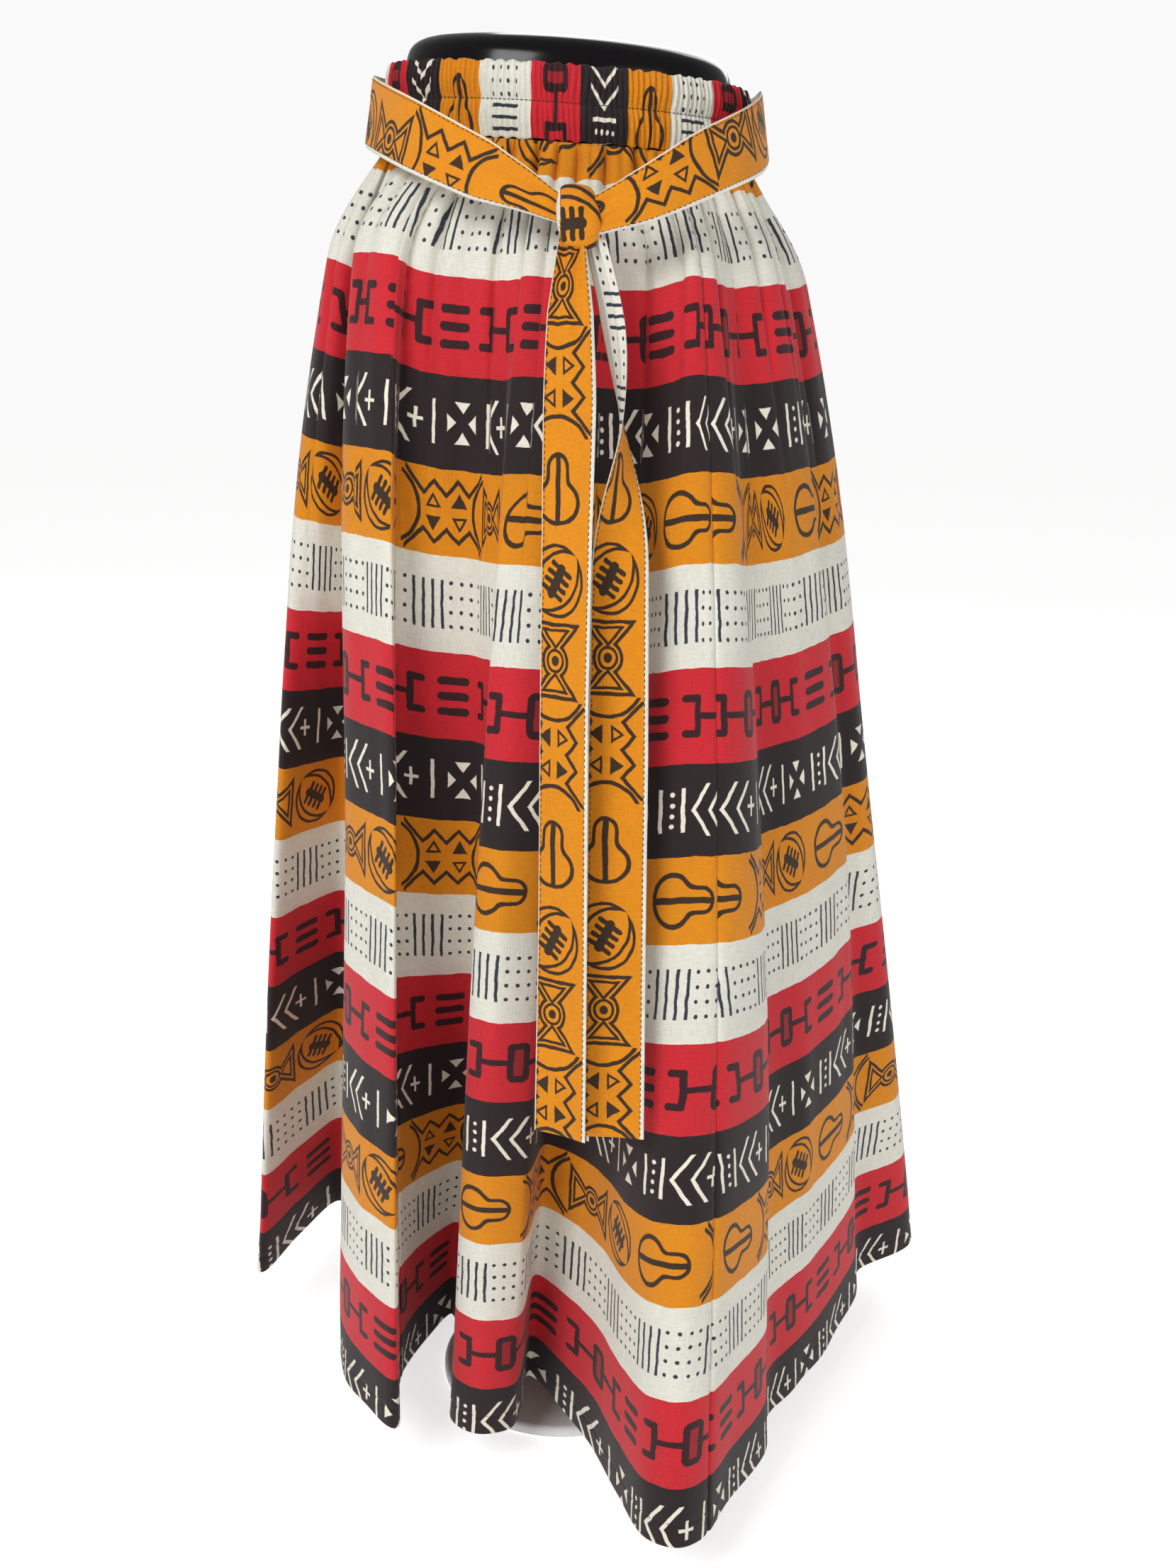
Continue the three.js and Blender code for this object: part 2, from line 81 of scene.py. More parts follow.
def spline_through(stops: np.ndarray, values: np.ndarray, at: np.ndarray) -> np.ndarray:
    """A smooth curve through values given at stops.

    Args:
        stops: rising places, shape (S,).
        values: what holds at each stop, shape (S, ...).
        at: places to read, shape (N,).

    Returns:
        The values at those places, shape (N, ...).
    """
    last = len(stops) - 1
    k = np.clip(np.searchsorted(stops, at, side="left") - 1, 0, last - 1)
    before = np.maximum(np.arange(last + 1) - 1, 0)
    after = np.minimum(np.arange(last + 1) + 1, last)
    shape = (-1,) + (1,) * (values.ndim - 1)
    slopes = (values[after] - values[before]) / (stops[after] - stops[before]).reshape(shape)
    span = (stops[k + 1] - stops[k]).reshape(shape)
    t = ((at - stops[k]) / (stops[k + 1] - stops[k])).reshape(shape)
    start = 2 * t**3 - 3 * t**2 + 1
    return (
        start * values[k]
        + (1 - start) * values[k + 1]
        + span * ((t**3 - 2 * t**2 + t) * slopes[k] + (t**3 - t**2) * slopes[k + 1])
    )


def centripetal(
    points: np.ndarray, segment: np.ndarray, share: np.ndarray, closed: bool
) -> np.ndarray:
    """Points on a centripetal Catmull-Rom curve.

    Args:
        points: the curve's own points, shape (..., P, D).
        segment: index of the segment of each place, shape (N,).
        share: how far along its segment each place is, shape (N,).
        closed: whether the curve closes on itself.

    Returns:
        Points on the curve, shape (..., N, D).
    """
    if closed:
        count = points.shape[-2]
        four = [points[..., (segment + step) % count, :] for step in (-1, 0, 1, 2)]
    else:
        first = 2 * points[..., :1, :] - points[..., 1:2, :]
        last = 2 * points[..., -1:, :] - points[..., -2:-1, :]
        padded = np.concatenate([first, points, last], axis=-2)
        four = [padded[..., segment + step, :] for step in (0, 1, 2, 3)]
    x0, x1, x2, x3 = four
    roots = [np.sqrt(np.linalg.norm(b - a, axis=-1, keepdims=True)) for a, b in zip(four, four[1:])]
    d1 = np.where(roots[1] < 1e-4, 1.0, roots[1])
    d0 = np.where(roots[0] < 1e-4, d1, roots[0])
    d2 = np.where(roots[2] < 1e-4, d1, roots[2])
    t1 = ((x1 - x0) / d0 - (x2 - x0) / (d0 + d1) + (x2 - x1) / d1) * d1
    t2 = ((x2 - x1) / d1 - (x3 - x1) / (d1 + d2) + (x3 - x2) / d2) * d1
    w = share[:, None]
    return x1 + t1 * w + (-3 * x1 + 3 * x2 - 2 * t1 - t2) * w**2 + (2 * x1 - 2 * x2 + t1 + t2) * w**3


# ---------------------------------------------------------------- meshes
def make_object(name: str, mesh: bpy.types.Mesh) -> bpy.types.Object:
    """Puts a mesh into the scene as an object of that name."""
    item = bpy.data.objects.new(name, mesh)
    bpy.context.scene.collection.objects.link(item)
    return item


def mesh_object(
    name: str, points: np.ndarray, faces: np.ndarray, cloth: np.ndarray | None = None
) -> bpy.types.Object:
    """A smooth-shaded mesh of quads.

    Args:
        name: the object's name.
        points: its points in millimetres, shape (N, 3).
        faces: four point indices a face, shape (F, 4).
        cloth: place on the flat cloth in millimetres of every face corner, shape (F, 4, 2).

    Returns:
        The new object.
    """
    mesh = bpy.data.meshes.new(name)
    mesh.from_pydata((points * METRES).tolist(), [], faces.tolist())
    mesh.shade_smooth()
    if cloth is not None:
        layer = mesh.uv_layers.new(name="Cloth")
        layer.uv.foreach_set("vector", (cloth * METRES).astype(np.float32).ravel())
    mesh.update()
    return make_object(name, mesh)


def grid_faces(rows: int, columns: int, wrap: bool = False) -> tuple[np.ndarray, np.ndarray]:
    """Faces of a grid of points whose columns run right and whose rows run down, seen from its outside.

    Args:
        rows: rows of points.
        columns: columns of points.
        wrap: whether a last column of faces joins the last column to the first.

    Returns:
        Point indices and (row, column) places of each face's corners.
    """
    spans = columns if wrap else columns - 1
    r, c = np.meshgrid(np.arange(rows - 1), np.arange(spans), indexing="ij")
    corners = np.stack([(r, c), (r + 1, c), (r + 1, c + 1), (r, c + 1)], axis=0)
    places = corners.transpose(2, 3, 0, 1).reshape(-1, 4, 2)
    indices = places[..., 0] * columns + places[..., 1] % columns
    return indices, places


def shell(
    name: str,
    outer: np.ndarray,
    inner: np.ndarray,
    cloth: np.ndarray,
    back: np.ndarray | None = None,
    wrap: bool = False,
) -> bpy.types.Object:
    """A closed wall of cloth between an outer and an inner grid of points.

    Args:
        name: the object's name.
        outer: points of the outer side, shape (R, C, 3).
        inner: points of the inner side, shape (R, C, 3).
        cloth: place on the flat cloth of each outer point, shape (R, C or C + 1, 2).
        back: the same for the inner side, where it differs.
        wrap: whether the wall closes round its columns.

    Returns:
        The new object.
    """
    rows, columns = outer.shape[:2]
    back = cloth if back is None else back
    front_faces, places = grid_faces(rows, columns, wrap=wrap)
    back_faces = front_faces[:, ::-1] + rows * columns
    front_cloth = cloth[places[..., 0], places[..., 1]]
    back_cloth = back[places[..., 0], places[..., 1]][:, ::-1]
    faces, spots = [front_faces, back_faces], [front_cloth, back_cloth]

    def rim(line: np.ndarray, along: np.ndarray, flip: bool) -> None:
        """Closes the wall along one line of points.

        Args:
            line: indices of its points.
            along: their places on the flat cloth.
            flip: whether the faces turn the other way.
        """
        across = line + rows * columns
        quads = np.stack([line[:-1], line[1:], across[1:], across[:-1]], axis=1)
        spot = np.stack([along[:-1], along[1:], along[1:], along[:-1]], axis=1)
        faces.append(quads[:, ::-1] if flip else quads)
        spots.append(spot[:, ::-1] if flip else spot)

    index = np.arange(rows * columns).reshape(rows, columns)
    top, bottom = index[0], index[-1]
    if wrap:
        top, bottom = np.append(top, top[0]), np.append(bottom, bottom[0])
    else:
        rim(index[:, 0], cloth[:, 0], True)
        rim(index[:, -1], cloth[:, -1], False)
    rim(top, cloth[0, : len(top)], False)
    rim(bottom, cloth[-1, : len(bottom)], True)
    points = np.concatenate([outer.reshape(-1, 3), inner.reshape(-1, 3)])
    return mesh_object(name, points, np.concatenate(faces), np.concatenate(spots))


def lathe(name: str, loops: np.ndarray) -> bpy.types.Object:
    """A closed lump from stacked rings of points that start and end almost on its axis.

    Args:
        name: the object's name.
        loops: rings from top to bottom, each anticlockwise seen from above, shape (R, C, 3).

    Returns:
        The new object.
    """
    rows, columns = loops.shape[:2]
    faces, _ = grid_faces(rows, columns, wrap=True)
    centres = np.stack([loops[0].mean(0), loops[-1].mean(0)])
    points = np.concatenate([loops.reshape(-1, 3), centres])
    mesh = bpy.data.meshes.new(name)
    ring = np.arange(columns)
    after = (ring + 1) % columns
    top = np.stack([np.full(columns, rows * columns), ring, after], axis=1)
    low = (rows - 1) * columns
    bottom = np.stack([np.full(columns, rows * columns + 1), low + after, low + ring], axis=1)
    mesh.from_pydata((points * METRES).tolist(), [], faces.tolist() + top.tolist() + bottom.tolist())
    mesh.shade_smooth()
    mesh.update()
    return make_object(name, mesh)


def dress(piece: bpy.types.Object, finish: bpy.types.Material, node: str | None = None) -> None:
    """Gives a piece its finish, hangs it on the body and hides the node that it replaces.

    Args:
        piece: the piece.
        finish: its material.
        node: the node that it replaces, if any.
    """
    piece.data.materials.append(finish)
    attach(piece, BODY)
    if node is not None:
        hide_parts(node)


# ---------------------------------------------------------------- shader sums
class Field:
    """A number that changes over a surface, held as a shader socket and combined with plain arithmetic."""

    def __init__(self, graph: "Graph", socket: bpy.types.NodeSocket) -> None:
        """Keeps the socket and the graph that it belongs to."""
        self.graph = graph
        self.socket = socket

    def __add__(self, other: "Field | float") -> "Field":
        """The sum."""
        return self.graph.math("ADD", self, other)

    def __sub__(self, other: "Field | float") -> "Field":
        """The difference."""
        return self.graph.math("SUBTRACT", self, other)

    def __rsub__(self, other: float) -> "Field":
        """A number less this field."""
        return self.graph.math("SUBTRACT", other, self)

    def __mul__(self, other: "Field | float") -> "Field":
        """The product."""
        return self.graph.math("MULTIPLY", self, other)

    def __truediv__(self, other: "Field | float") -> "Field":
        """The quotient."""
        return self.graph.math("DIVIDE", self, other)

    def __abs__(self) -> "Field":
        """The size without its sign."""
        return self.graph.math("ABSOLUTE", self)

    def least(self, *others: "Field | float") -> "Field":
        """The least of this and the others."""
        result = self
        for other in others:
            result = self.graph.math("MINIMUM", result, other)
        return result

    def most(self, *others: "Field | float") -> "Field":
        """The most of this and the others."""
        result = self
        for other in others:
            result = self.graph.math("MAXIMUM", result, other)
        return result

    def wrapped(self, period: float, low: float | None = None) -> "Field":
        """This number, repeated over a period from low, or from half a period below 0."""
        low = -period / 2 if low is None else low
        return self.graph.math("WRAP", self, low + period, low)


class Graph:
    """Adds nodes to one shader node tree."""

    def __init__(self, tree: bpy.types.NodeTree) -> None:
        """Keeps the tree."""
        self.tree = tree

    def node(self, kind: str, **settings: object) -> bpy.types.Node:
        """A new node of that kind, with its settings.

        Args:
            kind: the node's Blender type.
            **settings: values of its properties.

        Returns:
            The node.
        """
        made = self.tree.nodes.new(kind)
        for key, value in settings.items():
            setattr(made, key, value)
        return made

    def put(self, value: "Field | bpy.types.NodeSocket | object", socket: bpy.types.NodeSocket) -> None:
        """Links a field or socket into a socket, or sets a plain value on it."""
        if isinstance(value, Field):
            self.tree.links.new(value.socket, socket)
        elif isinstance(value, bpy.types.NodeSocket):
            self.tree.links.new(value, socket)
        else:
            socket.default_value = value

    def math(self, operation: str, *values: "Field | float") -> Field:
        """One sum of numbers.

        Args:
            operation: Blender's name for it.
            *values: fields or numbers.

        Returns:
            The result.
        """
        made = self.node("ShaderNodeMath", operation=operation)
        for value, socket in zip(values, made.inputs):
            self.put(value, socket)
        return Field(self, made.outputs[0])

    def length(self, x: "Field | float", y: "Field | float") -> Field:
        """The distance of (x, y) from (0, 0)."""
        joined = self.node("ShaderNodeCombineXYZ")
        self.put(x, joined.inputs[0])
        self.put(y, joined.inputs[1])
        made = self.node("ShaderNodeVectorMath", operation="LENGTH")
        self.put(joined.outputs[0], made.inputs[0])
        return Field(self, made.outputs["Value"])

    def box(self, x: Field, y: Field, half_width: float, half_height: float) -> Field:
        """Distance outside a rectangle about (0, 0)."""
        return (abs(x) - half_width).most(abs(y) - half_height)

    def rounded(self, x: Field, y: Field, half_width: float, half_height: float, radius: float) -> Field:
        """Distance outside a rectangle about (0, 0) that has grown by a radius all round."""
        return self.length((abs(x) - half_width).most(0.0), (abs(y) - half_height).most(0.0)) - radius

    def noise(self, vector: bpy.types.NodeSocket, scale: float, detail: float, **settings: object) -> Field:
        """Smooth noise about 0.5.

        Args:
            vector: where it is read.
            scale: how many lumps to a metre.
            detail: octaves.
            **settings: values of the node's properties.

        Returns:
            The noise.
        """
        made = self.node("ShaderNodeTexNoise", **settings)
        made.inputs["Scale"].default_value = scale
        made.inputs["Detail"].default_value = detail
        self.put(vector, made.inputs["Vector"])
        return Field(self, made.outputs[0])

    def mix(self, share: "Field | float", first: object, second: object) -> bpy.types.NodeSocket:
        """A colour between two.

        Args:
            share: 0 for the first and 1 for the second.
            first: a colour or a socket.
            second: the same.

        Returns:
            The colour.
        """
        made = self.node("ShaderNodeMix", data_type="RGBA")
        inputs = [socket for socket in made.inputs if socket.type == "RGBA"]
        self.put(share, made.inputs["Factor"])
        self.put(first, inputs[0])
        self.put(second, inputs[1])
        return next(socket for socket in made.outputs if socket.type == "RGBA")

    def ramp(
        self, share: Field, stops: list[tuple[float, tuple[float, float, float]]]
    ) -> bpy.types.NodeSocket:
        """A colour that changes in steps.

        Args:
            share: from 0 to 1.
            stops: where each colour starts, and the colour.

        Returns:
            The colour.
        """
        made = self.node("ShaderNodeValToRGB")
        made.color_ramp.interpolation = "CONSTANT"
        elements = made.color_ramp.elements
        while len(elements) < len(stops):
            elements.new(1.0)
        for element, (start, colour) in zip(elements, stops):
            element.position = start
            element.color = (*colour, 1.0)
        self.put(share, made.inputs[0])
        return made.outputs[0]


def linear(red: int, green: int, blue: int) -> tuple[float, float, float]:
    """A colour given as 0 to 255 on a screen, as the shader's own numbers."""
    shares = (c / 255 for c in (red, green, blue))
    return tuple(c / 12.92 if c <= 0.04045 else ((c + 0.055) / 1.055) ** 2.4 for c in shares)


def shader_group(
    name: str, inputs: list[tuple[str, str]], outputs: list[tuple[str, str]]
) -> tuple[Graph, dict, dict]:
    """A new shader node group.

    Args:
        name: its name.
        inputs: (name, socket type) of each input.
        outputs: the same of each output.

    Returns:
        Its graph, its input sockets by name, and its output node's sockets by name.
    """
    tree = bpy.data.node_groups.new(name, "ShaderNodeTree")
    for label, kind in inputs:
        tree.interface.new_socket(label, in_out="INPUT", socket_type=kind)
    for label, kind in outputs:
        tree.interface.new_socket(label, in_out="OUTPUT", socket_type=kind)
    graph = Graph(tree)
    start, end = graph.node("NodeGroupInput"), graph.node("NodeGroupOutput")
    return graph, {s.name: s for s in start.outputs}, {s.name: s for s in end.inputs}


# ---------------------------------------------------------------- the print
class Band(Enum):
    """The four printed bands, down the cloth: the upper edge's place in the repeat, and the height."""

    WHITE = (0.0, 70.0)
    RED = (70.0, 65.0)
    BLACK = (135.0, 63.5)
    ORANGE = (198.5, 61.5)

    @property
    def top(self) -> float:
        """Distance from the start of the repeat to the band's upper edge."""
        return self.value[0]

    @property
    def height(self) -> float:
        """The band's height."""
        return self.value[1]

    @property
    def middle(self) -> float:
        """Distance from the start of the repeat to the band's middle."""
        return self.top + self.height / 2


class Marks:
    """The marks of one printed row."""

    def draw(self, graph: Graph, u: Field, v: Field) -> Field:
        """Draws the marks.

        Args:
            graph: where the nodes go.
            u: place along the row.
            v: place below its middle.

        Returns:
            Distance outside the marks.
        """
        raise NotImplementedError


@dataclass(frozen=True)
class StrokesAndDots(Marks):
    """White band: four thin strokes, then four rows of four dots."""

    period: float = 60.5
    start: float = 708.0
    stroke_gap: float = 7.3
    stroke_half_width: float = 1.15
    stroke_half_length: float = 18.0
    dot_gap: float = 8.3
    row_gap: float = 10.6
    dot_radius: float = 1.5

    def draw(self, graph: Graph, u: Field, v: Field) -> Field:
        """Draws the marks.

        Args:
            graph: where the nodes go.
            u: place along the row.
            v: place below its middle.

        Returns:
            Distance outside the marks.
        """
        x = (u - self.start).wrapped(self.period)
        column = (x - self.stroke_gap / 2).wrapped(self.stroke_gap)
        strokes = graph.box(column, v, self.stroke_half_width, self.stroke_half_length)
        strokes = strokes.most(abs(x) - 2 * self.stroke_gap)
        x = (u - self.start - self.period / 2).wrapped(self.period)
        column = (x - self.dot_gap / 2).wrapped(self.dot_gap)
        row = (v - self.row_gap / 2).wrapped(self.row_gap)
        dots = graph.length(column, row) - self.dot_radius
        return strokes.least(dots.most(abs(x) - 2 * self.dot_gap, abs(v) - 2 * self.row_gap))


@dataclass(frozen=True)
class BarsAndLinks(Marks):
    """Red band: three thick bars, then a frame linked to a bracket on either side."""

    period: float = 128.0
    start: float = 674.0
    bar_gap: float = 11.6
    bar_half_length: float = 9.6
    bar_radius: float = 3.05
    frame_half_width: float = 3.5
    frame_half_height: float = 10.8
    frame_line: float = 2.8
    link_at: float = 18.5
    link_half_length: float = 11.0
    link_half_width: float = 2.3
    bracket_line: float = 2.7
    stem_at: float = 30.5
    stem_half_height: float = 11.2
    arm_at: float = 35.0
    arm_up: float = 12.0
    arm_half_length: float = 4.5

    def draw(self, graph: Graph, u: Field, v: Field) -> Field:
        """Draws the marks.

        Args:
            graph: where the nodes go.
            u: place along the row.
            v: place below its middle.

        Returns:
            Distance outside the marks.
        """
        x = (u - self.start).wrapped(self.period)
        bars = graph.rounded(x, v.wrapped(self.bar_gap), self.bar_half_length, 0.0, self.bar_radius)
        bars = bars.most(abs(v) - 1.5 * self.bar_gap)
        x = abs((u - self.start - self.period / 2).wrapped(self.period))
        edge = graph.rounded(x, v, self.frame_half_width, self.frame_half_height, self.frame_line)
        link = graph.box(x - self.link_at, v, self.link_half_length, self.link_half_width)
        stem = graph.rounded(x - self.stem_at, v, 0.0, self.stem_half_height, self.bracket_line)
        up = abs(v) - self.arm_up
        arm = graph.rounded(x - self.arm_at, up, self.arm_half_length, 0.0, self.bracket_line)
        return bars.least(abs(edge) - self.frame_line, link, stem, arm)


@dataclass(frozen=True)
class BarsAndCrosses(Marks):
    """Black band: bar, cross of triangles, bar, dots, bar, two chevrons and a plus.

    Each ..._narrow turns a distance along the row into one across a slanting edge.
    """

    period: float = 120.0
    start: float = 649.6
    lead: float = 9.0
    line: float = 1.4
    second_bar: float = 48.2
    third_bar: float = 64.3
    bar_half_height: float = 15.2
    cross_at: float = 24.2
    upright_tip: float = 6.4
    upright_end: float = 14.4
    upright_slope: float = 0.82
    upright_narrow: float = 0.78
    level_tip: float = 5.4
    level_end: float = 12.4
    level_slope: float = 0.9
    level_narrow: float = 0.76
    dots_at: float = 56.5
    dot_gap: float = 7.4
    dot_radius: float = 1.7
    dots_half_height: float = 14.8
    chevron_at: float = 71.5
    chevron_gap: float = 14.0
    chevron_slope: float = 0.74
    chevron_narrow: float = 0.8
    chevron_half_height: float = 18.0
    plus_at: float = 103.5
    plus_half_width: float = 5.6
    plus_half_height: float = 7.0
    plus_half_line: float = 1.2

    def draw(self, graph: Graph, u: Field, v: Field) -> Field:
        """Draws the marks.

        Args:
            graph: where the nodes go.
            u: place along the row.
            v: place below its middle.

        Returns:
            Distance outside the marks.
        """
        x = (u - self.start).wrapped(self.period, -self.lead)
        b = abs(v)
        bars = abs(x).least(abs(x - self.second_bar), abs(x - self.third_bar)) - self.line
        bars = bars.most(b - self.bar_half_height)
        a = abs(x - self.cross_at)
        flank = (a - (b - self.upright_tip) * self.upright_slope) * self.upright_narrow
        upright = (b - self.upright_end).most(flank)
        flank = (b - (a - self.level_tip) * self.level_slope) * self.level_narrow
        level = (a - self.level_end).most(flank)
        row = (v - self.dot_gap / 2).wrapped(self.dot_gap)
        dots = (graph.length(x - self.dots_at, row) - self.dot_radius).most(b - self.dots_half_height)
        slant = x - self.chevron_at - b * self.chevron_slope
        chevrons = abs(slant).least(abs(slant - self.chevron_gap)) * self.chevron_narrow - self.line
        chevrons = chevrons.most(b - self.chevron_half_height)
        x = x - self.plus_at
        plus = graph.box(x, v, self.plus_half_width, self.plus_half_line)
        plus = plus.least(graph.box(x, v, self.plus_half_line, self.plus_half_height))
        return bars.least(upright, level, dots, chevrons, plus)


@dataclass(frozen=True)
class Gourd(Marks):
    """An outlined gourd lying on its side, with a bar along its middle."""

    bulb_at: float = -8.0
    bulb_half_length: float = 13.5
    bulb_half_height: float = 18.0
    bulb_mean: float = 14.0
    neck_at: float = 9.0
    neck_half_length: float = 5.0
    neck_radius: float = 8.6
    blend: float = 6.0
    half_line: float = 1.45
    bar_at: float = 0.8
    bar_half_length: float = 21.5
    bar_half_width: float = 2.3

    def draw(self, graph: Graph, u: Field, v: Field) -> Field:
        """Draws the gourd about (0, 0).

        Args:
            graph: where the nodes go.
            u: place along the row.
            v: place below its middle.

        Returns:
            Distance outside the marks.
        """
        bulb = graph.length((u - self.bulb_at) / self.bulb_half_length, v / self.bulb_half_height)
        bulb = (bulb - 1.0) * self.bulb_mean
        neck = graph.rounded(u - self.neck_at, v, self.neck_half_length, 0.0, self.neck_radius)
        body = graph.math("SMOOTH_MIN", bulb, neck, self.blend)
        bar = graph.box(u - self.bar_at, v, self.bar_half_length, self.bar_half_width)
        return (abs(body) - self.half_line).least(bar.most(body))


@dataclass(frozen=True)
class ToothedDrum(Marks):
    """A drum with toothed long sides, hollow ends and four triangles inside, two of them open."""

    tooth_at: float = 9.6
    tooth_top: float = 21.5
    corner_at: float = 18.4
    corner_up: float = 12.0
    corner_slope: float = 1.1
    side_narrow: float = 0.7
    side_end: float = 33.5
    line: float = 1.4
    end_centre: float = 50.6
    end_radius: float = 28.6
    end_half_height: float = 26.5
    end_limit: float = 36.0
    triangle_at: float = 10.5
    triangle_base: float = 3.2
    triangle_tip: float = 13.6
    triangle_slope: float = 0.62
    triangle_narrow: float = 0.86
    open_line: float = 0.9

    def draw(self, graph: Graph, u: Field, v: Field) -> Field:
        """Draws the drum about (0, 0).

        Args:
            graph: where the nodes go.
            u: place along the row.
            v: place below its middle.

        Returns:
            Distance outside the marks.
        """
        a, b = abs(u), abs(v)
        teeth = self.tooth_top - abs(a - self.tooth_at)
        teeth = teeth.most((a - self.corner_at) * self.corner_slope + self.corner_up)
        side = (abs(b - teeth) * self.side_narrow - self.line).most(a - self.side_end)
        end = abs(graph.length(a - self.end_centre, v) - self.end_radius) - self.line
        end = end.most(b - self.end_half_height, a - self.end_limit)
        half_width = (self.triangle_tip - b) * self.triangle_slope
        flank = (abs(a - self.triangle_at) - half_width) * self.triangle_narrow
        triangle = (self.triangle_base - b).most(flank)
        hollow = abs(triangle + self.open_line) - self.open_line
        is_open = graph.math("SIGN", u * v) * 0.5 + 0.5
        return side.least(end, triangle + (hollow - triangle).most(0.0) * is_open)


@dataclass(frozen=True)
class EyeInBow(Marks):
    """An eye in the middle of two wedges, with one outline round them and another inside it."""

    wedge_tip: float = 3.0
    wedge_end: float = 24.0
    wedge_slope: float = 0.93
    wedge_narrow: float = 0.73
    eye_radius: float = 10.8
    ring_radius: float = 7.0
    pupil_radius: float = 3.3
    half_line: float = 1.3
    fine_half_line: float = 1.05
    inset: float = 3.8
    inner_from: float = 6.5

    def draw(self, graph: Graph, u: Field, v: Field) -> Field:
        """Draws the eye and its bow about (0, 0).

        Args:
            graph: where the nodes go.
            u: place along the row.
            v: place below its middle.

        Returns:
            Distance outside the marks.
        """
        a, b = abs(u), abs(v)
        eye = graph.length(u, v)
        wedge = (b - (a - self.wedge_tip) * self.wedge_slope) * self.wedge_narrow
        joined = wedge.most(a - self.wedge_end).least(eye - self.eye_radius)
        outline = abs(joined) - self.half_line
        inner = (abs(joined + self.inset) - self.fine_half_line).most(self.inner_from - a)
        ring = abs(eye - self.ring_radius) - self.fine_half_line
        return (eye - self.pupil_radius).least(outline, inner, ring)


@dataclass(frozen=True)
class CrescentsAndComb(Marks):
    """Two crescents that turn round a comb."""

    diagonal: float = 0.7071
    radius: float = 23.0
    hollow_radius: float = 28.2
    hollow_aside: float = 12.0
    half_line: float = 1.2
    comb_along: float = 0.87
    comb_across: float = 0.5
    finger_gap: float = 5.8
    finger_half_length: float = 9.0
    finger_radius: float = 1.75
    comb_half_width: float = 11.6
    rib_half_length: float = 9.5
    rib_radius: float = 3.2
    rib_swell: float = 0.9

    def draw(self, graph: Graph, u: Field, v: Field) -> Field:
        """Draws the crescents and the comb about (0, 0).

        Args:
            graph: where the nodes go.
            u: place along the row.
            v: place below its middle.

        Returns:
            Distance outside the marks.
        """
        across = (u - v) * self.diagonal
        along = (u + v) * self.diagonal
        hollow = graph.length(abs(across) + self.hollow_aside, along)
        moon = (graph.length(u, v) - self.radius).most(self.hollow_radius - hollow)
        turned = u * self.comb_along + v * self.comb_across
        beside = v * self.comb_along - u * self.comb_across
        column = (turned - self.finger_gap / 2).wrapped(self.finger_gap)
        fingers = graph.rounded(column, beside, 0.0, self.finger_half_length, self.finger_radius)
        fingers = fingers.most(abs(turned) - self.comb_half_width)
        rib = graph.rounded(turned, beside * self.rib_swell, self.rib_half_length, 0.0, self.rib_radius)
        return (abs(moon) - self.half_line).least(fingers, rib)


@dataclass(frozen=True)
class Signs(Marks):
    """Orange band: four signs in a row."""

    period: float = 242.0
    start: float = 654.7
    lead: float = 26.0
    gourd_at: float = 59.0
    drum_at: float = 128.0
    eye_at: float = 189.6

    def draw(self, graph: Graph, u: Field, v: Field) -> Field:
        """Draws the signs.

        Args:
            graph: where the nodes go.
            u: place along the row.
            v: place below its middle.

        Returns:
            Distance outside the marks.
        """
        x = (u - self.start).wrapped(self.period, -self.lead)
        return CrescentsAndComb().draw(graph, x, v).least(
            Gourd().draw(graph, x - self.gourd_at, v),
            ToothedDrum().draw(graph, x - self.drum_at, v),
            EyeInBow().draw(graph, x - self.eye_at, v),
        )


